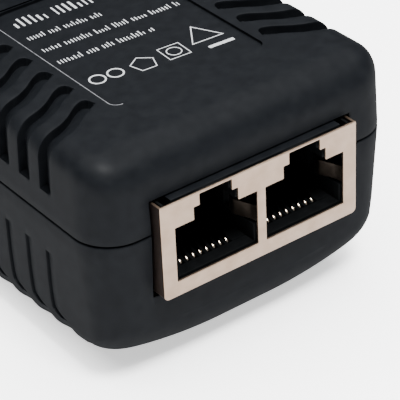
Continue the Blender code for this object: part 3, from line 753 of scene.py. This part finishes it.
FACE_HALF = CASE_HALF - TOP_DRAFT[1] - TOP_ROUND[1]
STRAIGHT_HALF = CASE_HALF - CASE_CORNER


def upper_reach(run, z, distance):
    """Full depth down to the groove's foot and out to its blunt, slanted inner end."""
    end = linear(GROOVE_END, run)
    foot = smooth(GROOVE_END_Z - 0.05, GROOVE_END_Z + 0.08, z)
    return foot * smooth(*GROOVE_START, run) * (1 - smooth(end - 0.3, end, distance))


def lower_reach(run, z, distance):
    return smooth(RIB_TOP_Z, RIB_TOP_Z - RIB_TOP_FADE, z) * (1 - smooth(*RIB_END, run))


def lower_wave(run, y, turn):
    share = 0.5 + 0.5 * math.cos(2 * math.pi * max(-0.5, (y - WAVE_FIRST) / PITCH))
    return WAVE_DEPTH * share * smooth(*WAVE_RUN, run) * (1 - smooth(*WAVE_TURN, turn))


def no_wave(run, y, turn):
    return 0.0


UPPER_GROOVES = Grooves(GROOVE_BACK, GROOVE_DEPTH, GROOVE_PROFILE, upper_reach, GROOVE_BEND, no_wave)
LOWER_GROOVES = Grooves(RIB_BACK, RIB_DEPTH, RIB_PROFILE, lower_reach, RIB_BEND, lower_wave)


def plain(grooves):
    """The same grid without its relief, for the inside of a shell."""
    return grooves._replace(depth=0.0, wave=no_wave)


def merged(values, closest=0.03):
    """Sorted values without near repeats."""
    kept = []
    for value in sorted(values):
        if not kept or value - kept[-1] > closest:
            kept.append(value)
    return kept


def upper_levels():
    """Rings up the wall, at heights given for the front and the side, and round the edge."""
    rise = UPPER_SEAM + SEAM_EDGE
    front = [rise, 23.3, 24.5, 25.5, WINDOW_HIGH, WINDOW_HIGH + WINDOW_EDGE, 27.0, 27.4,
             CASE_TOP - TOP_ROUND[0]]
    side = [rise, 23.5, 25.0, GROOVE_END_Z - 0.1, GROOVE_END_Z, GROOVE_END_Z + 0.12, 26.4, 28.0,
            CASE_TOP - TOP_ROUND[1]]
    levels = seam_levels(LIP_INSET, UPPER_SEAM, 1, FAR_RUN)
    edge_run = FACE_HALF + TOP_ROUND[1] * math.pi / 2
    for heights in zip(front, side):
        def inset(nx, heights=heights):
            edge = CASE_TOP - mix(TOP_ROUND, nx * nx)
            return mix(TOP_DRAFT, nx * nx) * ((mix(heights, nx * nx) - rise) / (edge - rise))

        levels.append(Level(inset, lambda nx, x, y, heights=heights: mix(heights, nx * nx), 0.0,
                            edge_run + side[-1] - heights[1]))
    return levels + edge_levels(1, TOP_DRAFT, TOP_ROUND, below_top,
                                lambda turn: FACE_HALF + TOP_ROUND[1] * (math.pi / 2 - turn))


def inner_levels(draft, rounding, tip, height_of):
    """The inside of a shell, from its rim to its flat."""
    def wall_height(nx, x, y):
        return height_of(mix(rounding, nx * nx) + INNER_CORNER[1], x, y)

    return [flat_level(WALL, tip),
            Level(lambda nx: mix(draft, nx * nx) + WALL, wall_height, 0.0, FAR_RUN),
            Level(lambda nx: mix(draft, nx * nx) + WALL + INNER_CORNER[0],
                  lambda nx, x, y: height_of(WALL, x, y), math.pi / 2, FACE_HALF)]


def with_room(rows, *marks):
    """Grid rows at the given places, and at the marks' runs where those leave room."""
    wide = [y for y in runs(*marks) if min(abs(y - r) for r in rows) > ROW_ROOM]
    return merged(rows + wide, 0.005)


def walls(net, outside, inside, grooves, up):
    """The walls of a shell, and the rings that its outer and inner flat start from."""
    form = bmesh.new()
    outer = [add_ring(form, net, level, grooves, up) for level in outside]
    inner = [add_ring(form, net, level, plain(grooves), up) for level in inside]
    join_rings(form, net, outer)
    join_rings(form, net, [outer[0]] + inner)
    return form, outer[-1], inner[-1]


def line_opening(form, border, outline, steps):
    """Joins a loop round an opening to the grid, follows it inward and returns its last loop."""
    loops = [grown_loop(form, outline, growth, z) for growth, z in steps]
    fill_between(form, border, loops[0])
    bridge(form, loops)
    return loops[-1]


def rounded_rectangle(half, y_range, radii):
    corners = [(-half, y_range[0]), (half, y_range[0]), (half, y_range[1]), (-half, y_range[1])]
    return fillet(corners, [radii[0], radii[0], radii[1], radii[1]], CORNER_STEPS)


def grown_loop(form, points, growth, z):
    """A loop of plan points moved outward by growth, at height z."""
    result = []
    count = len(points)
    for i in range(count):
        before, here, after = (Vector(points[k % count]) for k in (i - 1, i, i + 1))
        normals = [Vector((d.y, -d.x)).normalized() for d in (here - before, after - here)]
        out = (normals[0] + normals[1]).normalized()
        out /= max(0.3, out.dot(normals[0]))
        result.append(form.verts.new(at(here.x + out.x * growth, here.y + out.y * growth, z)))
    return result


STEM_SIDE = (17.65, 6.85)    # half sizes
STEM_SHOULDER = 10.75
STEM_TIP = 2.2
STEM_RADII = (3.2, 1.6, 1.6, 3.2)
STEM_EDGE = 0.9


def stem_outline():
    """Plan of the plug's stem: a flattened hexagon with rounded corners."""
    half_x, half_y = STEM_SIDE
    right = [(STEM_SHOULDER, -half_y), (half_x, -STEM_TIP), (half_x, STEM_TIP), (STEM_SHOULDER, half_y)]
    left = [(-x, -y) for x, y in right]
    return [(x, y + PLUG_Y) for x, y in fillet(right + left, STEM_RADII * 2, 7)]


def make_upper_shell():
    label_hole = (LABEL_HALF + LABEL_MARGIN, LABEL_Y[0] - LABEL_MARGIN, LABEL_Y[1] + LABEL_MARGIN)
    stem_hole = (STEM_SIDE[0] + 1.0, PLUG_Y - STEM_SIDE[1] - 1.0, PLUG_Y + STEM_SIDE[1] + 1.0)
    columns = runs((0.0, 1.5), (label_hole[0], 0.2), (12.6, 0.06), (13.3, 0.11), (14.4, 0.3),
                   (16.2, 0.45), (stem_hole[0], 0.4), (FACE_HALF, 1))
    window = [x * FACE_HALF / STRAIGHT_HALF for x in (WINDOW_HALF, WINDOW_HALF + WINDOW_EDGE)]
    columns = merged([x for x in columns if min(abs(x - w) for w in window) > 0.08] + window)
    rows = with_room(UPPER_GROOVES.rows() + list(label_hole[1:]) + list(stem_hole[1:]),
                     (CASE_FRONT + CASE_CORNER, 0.7), (12.0, 0.45), (48.2, 0.7), (54.0, 1.6),
                     (CASE_BACK - CASE_CORNER, 1))
    net = Net([x / FACE_HALF for x in columns], rows)
    inside = inner_levels(TOP_DRAFT, TOP_ROUND, UPPER_SEAM + LIP_HEIGHT, below_top)
    form, outer, inner = walls(net, upper_levels(), inside, UPPER_GROOVES, 1)
    rows = add_face(form, net, outer, 0.0, below_top, 0.0, UPPER_GROOVES, 1,
                    (label_hole, stem_hole))
    inner_rows = add_face(form, net, inner, 0.0, below_top, WALL, plain(UPPER_GROOVES), 1,
                          (stem_hole,))
    window_reveal(form)

    foot = line_opening(form, hole_border(net, rows, label_hole),
                        rounded_rectangle(LABEL_HALF, LABEL_Y, LABEL_RADII),
                        ((LABEL_EDGE, CASE_TOP), (0.0, CASE_TOP - LABEL_EDGE),
                         (0.0, LABEL_FLOOR + LABEL_EDGE), (-LABEL_EDGE, LABEL_FLOOR)))
    form.faces.new(foot)
    foot = line_opening(form, hole_border(net, rows, stem_hole), stem_outline(),
                        ((GAP + HOLE_EDGE, CASE_TOP), (GAP, CASE_TOP - HOLE_EDGE),
                         (GAP, CASE_TOP - WALL)))
    fill_between(form, hole_border(net, inner_rows, stem_hole), foot)
    shell = piece("upper_shell", form, CASE_PLASTIC, replaces="upper_case", sharp=40)
    # the groove and recess walls get the darker plastic: painted shade
    refinish(shell, CASE_PAINTED_SHADE, painted_shade_wall)


def painted_shade_wall(center, normal):
    """Whether a face of the upper shell belongs to a wall of a groove or of the label's recess, which
    get painted shade.
    """
    if not SHEAR_FRONT[1] < center.y < SHEAR_BACK[1]:
        return False
    side = abs(center.x) > CASE_HALF - 2 * GROOVE_DEPTH
    foot = side and abs(center.z - GROOVE_END_Z) < 0.3 and normal.z > 0.3
    label_wall = abs(abs(center.x) - LABEL_HALF) < 0.1 and abs(normal.z) < 0.5
    return normal.y < -0.6 or foot or label_wall


def lower_levels():
    """Rings down the wall, first level and then following the crown, and round the edge."""
    rise = LOWER_SEAM - SEAM_EDGE
    flat = [rise, 19.6, 17.6, RIB_TOP_Z, RIB_TOP_Z - 0.12, RIB_TOP_Z - RIB_TOP_FADE, 14.2,
            WINDOW_LOW + 0.01, WINDOW_LOW - WINDOW_EDGE, 11.0]

    def edge_height(nx, x, y):
        inset = mix(LOW_DRAFT, nx * nx)
        ny = math.copysign(math.sqrt(max(0.0, 1 - nx * nx)), y - (CASE_FRONT + CASE_BACK) / 2)
        return face_crown(x - nx * inset, y - ny * inset) + mix(LOW_ROUND, nx * nx)

    edge_run = rise - face_crown(CASE_HALF - LOW_ROUND[1], PLUG_Y) - LOW_ROUND[1]
    levels = seam_levels(LIP_INSET + GAP, LOWER_SEAM, -1, 0.0)

    def lean(nx, z):
        low = mix(LOW_ROUND, nx * nx) + END_RISE
        return mix(LOW_DRAFT, nx * nx) * (rise - z) / (rise - low)

    for z in flat:
        levels.append(Level(lambda nx, z=z: lean(nx, z), lambda nx, x, y, z=z: z, 0.0, rise - z))
    for share in (0.35, 0.6, 0.76, 0.83, 0.875, 0.91, 0.94, 0.97):
        def inset(nx, share=share):
            return mix((lean(nx, flat[-1]), mix(LOW_DRAFT, nx * nx)), share)

        def height(nx, x, y, share=share):
            return mix((flat[-1], edge_height(nx, x, y)), share)

        levels.append(Level(inset, height, 0.0, mix((rise - flat[-1], edge_run), share)))
    return levels + edge_levels(0, LOW_DRAFT, LOW_ROUND, above_crown,
                                lambda turn: edge_run + LOW_ROUND[1] * turn, LOW_CORNER_GROWTH)


def make_lower_shell():
    columns = runs((0.0, 1.6), (WINDOW_HALF, WINDOW_EDGE), (WINDOW_HALF + WINDOW_EDGE, 0.6),
                   (STRAIGHT_HALF, 1))
    rows = with_room(LOWER_GROOVES.rows(), (CASE_FRONT + CASE_CORNER, 0.8), (12.0, 0.5),
                     (48.0, 1.6), (CASE_BACK - CASE_CORNER, 1))
    net = Net([x / STRAIGHT_HALF for x in columns], rows)
    inside = inner_levels(LOW_DRAFT, LOW_ROUND, LOWER_SEAM + LIP_HEIGHT, above_crown)
    form, outer, inner = walls(net, lower_levels(), inside, LOWER_GROOVES, -1)
    add_face(form, net, outer, LOW_CORNER_GROWTH, above_crown, 0.0, LOWER_GROOVES, -1)
    add_face(form, net, inner, 0.0, above_crown, WALL, plain(LOWER_GROOVES), -1)
    window_reveal(form)
    piece("lower_shell", form, CASE_PLASTIC, replaces="lower_case", sharp=40)


# ---- double jack

INSERT_HALF = JACK_HALF - SHEET - GAP
INSERT_TOP_HALF = 12.95
INSERT_RIM = 14.0            # inner side of the thin rim beyond each notch in the top
INSERT_SHOULDER = 11.9
INSERT_RIM_TOP = 13.2
INSERT_TOP = 13.45
INSERT_NOTCH_TOP = 12.55
LIP_TOP = PORT_FLOOR + 0.15
WELL_FLOOR = 1.0
WELL_HALF = 4.16
SLOT_HALF = 0.33
POCKET_LOW = 4.7
POCKET_HIGH = 9.55
POCKET_DEPTH = 1.1
LIP_BACK = 2.45
COMB_BACK = 3.9
POCKET_BACK = 6.6
CAVITY_BACK = 13.2
SHIELD_EDGE = 0.12
SHIELD_CURL = 0.7            # radius of the shield's lower corners


def above(points):
    """Face points with heights counted from the jack's underside."""
    return [(x, z + JACK_BASE) for x, z in points]


def port_top(center, half, notch_top):
    """The stepped top of a port from its right wall to its left."""
    right = [(half, PORT_SHOULDER), (STEP_HALF, PORT_SHOULDER), (STEP_HALF, STEP_TOP),
             (NOTCH_HALF, STEP_TOP), (NOTCH_HALF, notch_top)]
    return [(center + x, z) for x, z in right + [(-x, z) for x, z in reversed(right)]]


def port_floor(center, half, kind):
    """The floor of a port from its left wall to its right: lip, comb or well."""
    wells = {"lip": [], "comb": [(x, SLOT_HALF) for x in CONTACT_X], "well": [(0.0, WELL_HALF)]}
    points = [(-half, LIP_TOP)]
    for x, reach in wells[kind]:
        points += [(x - reach, LIP_TOP), (x - reach, WELL_FLOOR), (x + reach, WELL_FLOOR),
                   (x + reach, LIP_TOP)]
    return [(center + x, z) for x, z in points + [(half, LIP_TOP)]]


def port_holes(kind, pockets):
    """Openings of the insert at one depth; the pockets join both ports through the middle wall."""
    tops = {side: port_top(center, CAVITY_HALF, INSERT_NOTCH_TOP) for side, center in PORTS}
    floors = {side: port_floor(center, CAVITY_HALF, kind) for side, center in PORTS}
    if not pockets:
        return [above(tops[side] + floors[side]) for side, _ in PORTS]
    outer, inner = PORT_X + CAVITY_HALF, PORT_X - CAVITY_HALF
    deep = outer + POCKET_DEPTH
    right = [(outer, POCKET_LOW), (deep, POCKET_LOW), (deep, POCKET_HIGH), (outer, POCKET_HIGH)]
    outline = right + tops["right"] + [(inner, POCKET_HIGH), (-inner, POCKET_HIGH)]
    outline += tops["left"] + [(-x, z) for x, z in reversed(right)]
    outline += floors["left"] + [(-inner, POCKET_LOW), (inner, POCKET_LOW)] + floors["right"]
    return [above(outline)]


def make_shield():
    top = JACK_HEIGHT
    face = fillet(above([(-JACK_HALF, top), (-JACK_HALF, 0), (JACK_HALF, 0), (JACK_HALF, top)]),
                  [SHIELD_EDGE, SHIELD_CURL, SHIELD_CURL, SHIELD_EDGE])
    ports = []
    for _, center in PORTS:
        outline = port_top(center, PORT_HALF, NOTCH_TOP)
        outline += [(center - PORT_HALF, PORT_FLOOR), (center + PORT_HALF, PORT_FLOOR)]
        ports.append(fillet(above(outline), SHIELD_EDGE, 3))
    plates = [slab(face, ports, 0.0, SHEET, facing, 0.08)]
    inner = JACK_HALF - SHEET
    arc = [math.radians(180 + 60 * i / 5) for i in range(6)]
    curl = [(-JACK_HALF + SHIELD_CURL * (1 + math.cos(a)), SHIELD_CURL * (1 + math.sin(a))) for a in arc]
    for side in (-1, 1):
        section = [(-JACK_HALF, top - 0.04)] + curl + [(-inner, top - 0.04)]
        section = above([(-side * x, z) for x, z in section])
        plates.append(slab(section, [], 0.1, JACK_HIGH.y - SHEET, facing))
    plates.append(slab(face, [], JACK_HIGH.y - SHEET, JACK_HIGH.y, facing, 0.05))
    shield = piece("jack_face", joined(*plates), NICKEL, replaces="jack_shield")
    # the shield's side walls get the darker nickel: painted shade
    refinish(shield, SHIELD_SIDE_PAINTED_SHADE, lambda center, normal: abs(normal.x) > 0.7 and center.y > SHEET)


def make_insert():
    right = [(INSERT_HALF, GAP), (INSERT_HALF, INSERT_RIM_TOP), (INSERT_RIM, INSERT_RIM_TOP),
             (INSERT_RIM, INSERT_SHOULDER), (INSERT_TOP_HALF, INSERT_SHOULDER),
             (INSERT_TOP_HALF, INSERT_TOP)]
    outline = above(right + [(-x, z) for x, z in reversed(right)])
    start = SHEET + GAP
    plates = [
        slab(outline, port_holes("lip", True), start, LIP_BACK, facing, 0.07),
        slab(outline, port_holes("comb", True), LIP_BACK, COMB_BACK, facing),
        slab(outline, port_holes("well", True), COMB_BACK, POCKET_BACK, facing),
        slab(outline, port_holes("well", False), POCKET_BACK, CAVITY_BACK, facing),
        slab(outline, [], CAVITY_BACK, JACK_HIGH.y - SHEET - GAP, facing),
    ]
    insert = piece("jack_insert", joined(*plates), JACK_PLASTIC, replaces="jack_housing")
    refinish(insert, CASE_PLASTIC, lambda center, normal: center.z > JACK_BASE + INSERT_TOP - 0.1)


def tube(path, radius, sides=14):
    """A round wire along a path of (y, z) points at X = 0, with domed ends."""
    form = bmesh.new()
    path = [Vector(p) for p in path]
    ends = {0: -0.3 * radius, len(path) - 1: 0.3 * radius}
    angles = [2 * math.pi * k / sides for k in range(sides)]
    rings = []
    for i, (point, along) in enumerate(zip(path, directions(path))):
        size = radius * (0.55 if i in ends else 1.0)
        y, z = point + along * ends.get(i, 0.0)
        rings.append(add_loop(form, [
            (size * math.cos(a), y - along.y * size * math.sin(a), z + along.x * size * math.sin(a))
            for a in angles]))
    return skin(form, rings)


def make_contacts():
    path = fillet_path(CONTACT_PATH, 0.3)
    path.insert(1, tuple(Vector(path[0]).lerp(Vector(path[1]), 0.2)))
    path.insert(-1, tuple(Vector(path[-1]).lerp(Vector(path[-2]), 0.02)))
    for side, center in PORTS:
        for number, offset in enumerate(CONTACT_X, 1):
            form = tube(path, CONTACT_RADIUS)
            for vertex in form.verts:
                x, y, z = vertex.co
                vertex.co = at(x + center + offset, y, z + JACK_BASE)
            piece(f"{side}_wire_{number}", form, GOLD, f"{side}_contacts",
                  replaces=f"{side}_contact_{number}", sharp=60)


FINGER_PATH = ((0.0, 0.5), (0.12, 1.3), (1.12, 3.6), (1.08, 4.1), (0.82, 4.7))
FINGER_THICKNESS = 0.22


def make_fingers():
    for side, center in PORTS:
        for number, inward in ((1, 1), (2, -1)):
            node = f"{side}_port_finger_{number}"
            low, high = extent(node)
            root = center - inward * (PORT_HALF + 0.05)
            section = strip(fillet_path(FINGER_PATH, 0.5), 0.0, FINGER_THICKNESS)
            outline = [(root + inward * u, v) for u, v in section]
            mesh = slab(outline, [], low.z, high.z, at, 0.05)
            # the fingers get the darkened metal: painted shade
            piece(f"{side}_spring_{number}", joined(mesh), SPRING_PAINTED_SHADE, f"{side}_finger_{number}",
                  replaces=node)


# ---- wall plug

def circles(form, x, profile, steps):
    """Circles round a pin's axis from (radius, z) points."""
    angles = [2 * math.pi * k / steps for k in range(steps)]
    return [add_loop(form, [at(x + radius * math.cos(a), PLUG_Y + radius * math.sin(a), z)
                            for a in angles]) for radius, z in profile]


def turned(profile, x):
    """A shape turned round a pin's axis from (radius, z) points."""
    form = bmesh.new()
    return skin(form, circles(form, x, profile, 48))


def make_stem():
    form = bmesh.new()
    levels = [(0.0, CASE_TOP - 1.6), (0.0, CASE_TOP - 0.8), (0.0, STEM_TOP - STEM_EDGE)]
    for i in range(1, 8):
        angle = math.radians(90 * i / 7)
        levels.append((-STEM_EDGE * (1 - math.cos(angle)), STEM_TOP - STEM_EDGE * (1 - math.sin(angle))))
    loops = [grown_loop(form, stem_outline(), growth, z) for growth, z in levels]
    bridge(form, loops)
    form.faces.new(loops[0])
    rim = PIN_RADIUS + GAP
    well = ((rim + HOLE_EDGE, STEM_TOP), (rim, STEM_TOP - HOLE_EDGE), (rim, STEM_TOP - 1.2))
    holes = []
    for x in (-PIN_X, PIN_X):
        rings = circles(form, x, well, 40)
        bridge(form, rings)
        form.faces.new(rings[-1])
        holes.append(rings[0])
    fill_between(form, loops[-1], *holes)
    piece("stem_skin", form, CASE_PLASTIC, replaces="plug_stem", sharp=40)


def make_pins():
    low, high = SLEEVE_LOW.z, SLEEVE_HIGH.z
    tip = PIN_HIGH.z
    for side, x in (("left", -PIN_X), ("right", PIN_X)):
        radius = PIN_RADIUS
        sleeve = [(radius - 0.3, low), (radius - 0.04, low), (radius, low + 0.1),
                  (radius, high - 0.25), (radius - 0.06, high - 0.08), (radius - 0.2, high)]
        piece(f"{side}_sleeve", turned(sleeve, x), JACK_PLASTIC, replaces=f"pin_sleeve_{side}", sharp=50)
        pin = [(radius - 0.6, high - 0.05), (radius - 0.6, high + 0.18), (radius - 0.12, high + 0.2),
               (radius, high + 0.32), (radius, tip - radius)]
        for i in range(1, 9):
            angle = math.radians(88 * i / 8)
            pin.append((radius * math.cos(angle), tip - radius + radius * math.sin(angle)))
        piece(f"{side}_pin", turned(pin, x), STEEL, replaces=f"plug_pin_{side}", sharp=50)


# ---- print on the label

INK_THICKNESS = 0.03
PRINT_CORNER = (-10.4, 18.0)
EDGE_LINE = 0.06


def printed(x, y, z):
    """Places a mark of the print, which sits a little crooked on the label."""
    turn = math.radians(-3.2)
    x, y = x - PRINT_CORNER[0], y - PRINT_CORNER[1]
    return at(PRINT_CORNER[0] + x * math.cos(turn) - y * math.sin(turn),
              PRINT_CORNER[1] + x * math.sin(turn) + y * math.cos(turn), z)


def bar(x0, x1, y0, y1):
    radius = min(0.12, (x1 - x0) / 2.2, (y1 - y0) / 2.2)
    return fillet([(x0, y0), (x1, y0), (x1, y1), (x0, y1)], radius, 3)


def ink_row(draw, x0, x1, base, height):
    """A row of plain upright marks, grouped like the words of a rating plate."""
    x = x0
    outlines = []
    left_in_group = draw.randint(4, 9)
    while x < x1:
        width = height * draw.uniform(0.10, 0.16)
        tall = height * draw.choice((1.0, 0.72, 0.72, 0.55))
        end = min(x + width, x1)
        if end - x > 0.06:
            outlines.append(bar(x, end, base, base + tall))
        left_in_group -= 1
        x = end + height * (0.24 if left_in_group else 0.62)
        if not left_in_group:
            left_in_group = draw.randint(4, 9)
    return outlines


def ring_outline(cx, cy, radius, sides, turn):
    angles = [2 * math.pi * k / sides + math.radians(turn) for k in range(sides)]
    return [(cx + radius * math.cos(a), cy + radius * math.sin(a)) for a in angles]


def make_painted_edge_highlight():
    """A painted highlight: a pale line along the left rim of the label's recess, where the rim catches
    the light.
    """
    outline = rounded_rectangle(LABEL_HALF, LABEL_Y, LABEL_RADII)
    line = strip([outline[-1]] + outline[:CORNER_STEPS + 1], -EDGE_LINE, EDGE_LINE)
    mesh = slab(line, [], CASE_TOP - 0.03, CASE_TOP + 0.01, at)
    piece("label_edge_highlight", joined(mesh), EDGE_HIGHLIGHT_PAINT)


def make_print():
    draw = random.Random(7)
    plates = []

    def stamp(outline, *holes):
        plates.append(slab(outline, holes, LABEL_FLOOR, LABEL_FLOOR + INK_THICKNESS, printed))

    rows = ((-10.4, 8.4, 38.2, 2.3), (-10.8, 0.2, 34.4, 1.2), (-10.8, 9.6, 30.6, 1.25),
            (-10.8, 3.4, 26.8, 1.25))
    for x0, x1, base, height in rows:
        for outline in ink_row(draw, x0, x1, base, height):
            stamp(outline)
    # two circles, a pentagon, a square with a circle in it, and a triangle
    shapes = ((-9.1, 20.7, 1.15, 0.92, 36, 0), (-6.5, 20.7, 1.15, 0.92, 36, 0),
              (-2.5, 20.5, 1.85, 1.68, 5, 90), (2.2, 20.8, 2.3, 2.13, 4, 45),
              (2.2, 20.8, 1.05, 0.9, 24, 0), (7.3, 22.1, 2.8, 2.5, 3, 90))
    for x, y, outer, inner, sides, turn in shapes:
        stamp(ring_outline(x, y, outer, sides, turn), ring_outline(x, y, inner, sides, turn))
    stamp(bar(6.2, 10.0, 18.6, 19.2))
    piece("label_print", joined(*plates), INK, sharp=30)


# ---- hidden parts and stage

FINISHES = {m.name: m for m in (CASE_PLASTIC, JACK_PLASTIC, NICKEL, GOLD, STEEL, *INNER_FINISHES)}


def finish_cad_nodes():
    """Every CAD node gets its slot's finish, the parts on the board included."""
    for part in frame["record"]["subparts"]:
        node = frame["nodes"][part["node"]]
        node.data.materials.clear()
        node.data.materials.append(FINISHES[part["material_slot"]])


def area_light(name, place, target, size, watts):
    lamp = bpy.data.lights.new(name, "AREA")
    lamp.size = size
    lamp.energy = watts
    obj = shown(name, lamp)
    obj.location = place
    obj.rotation_euler = (Vector(target) - Vector(place)).to_track_quat("-Z", "Y").to_euler()


def make_stage():
    paper, _, shader = nodes_of("pale_floor")
    set_inputs(shader, Base_Color=(0.93, 0.93, 0.93, 1.0), Roughness=0.9,
               Emission_Color=(1.0, 1.0, 1.0, 1.0), Emission_Strength=0.9)
    mesh = bpy.data.meshes.new("floor")
    mesh.from_pydata([(-3, -3, 0), (3, -3, 0), (3, 3, 0), (-3, 3, 0)], [], [(0, 1, 2, 3)])
    mesh.materials.append(paper)
    floor = shown("floor", mesh)
    floor.location.z = -0.0002

    world = bpy.data.worlds.new("soft_room")
    world.use_nodes = True
    set_inputs(world.node_tree.nodes["Background"], Color=(0.95, 0.97, 1.0, 1.0), Strength=0.45)
    bpy.context.scene.world = world
    area_light("overhead", (0.0, 0.05, 0.70), (0, 0, 0), 1.2, 32.0)
    area_light("key", (-0.04, -0.33, 0.66), (0, -0.04, 0.03), 0.2, 13.0)

    camera = shown("camera", bpy.data.cameras.new("camera"))
    camera.data.lens = 179.46
    camera.data.clip_start = 0.01
    camera.location = (-0.1229, -0.2024, 0.1544)
    camera.rotation_euler = [math.radians(a) for a in (56.43, 2.30, -37.15)]
    bpy.context.scene.camera = camera


finish_cad_nodes()
make_upper_shell()
make_lower_shell()
make_shield()
make_insert()
make_contacts()
make_fingers()
make_stem()
make_pins()
make_print()
make_painted_edge_highlight()
make_stage()
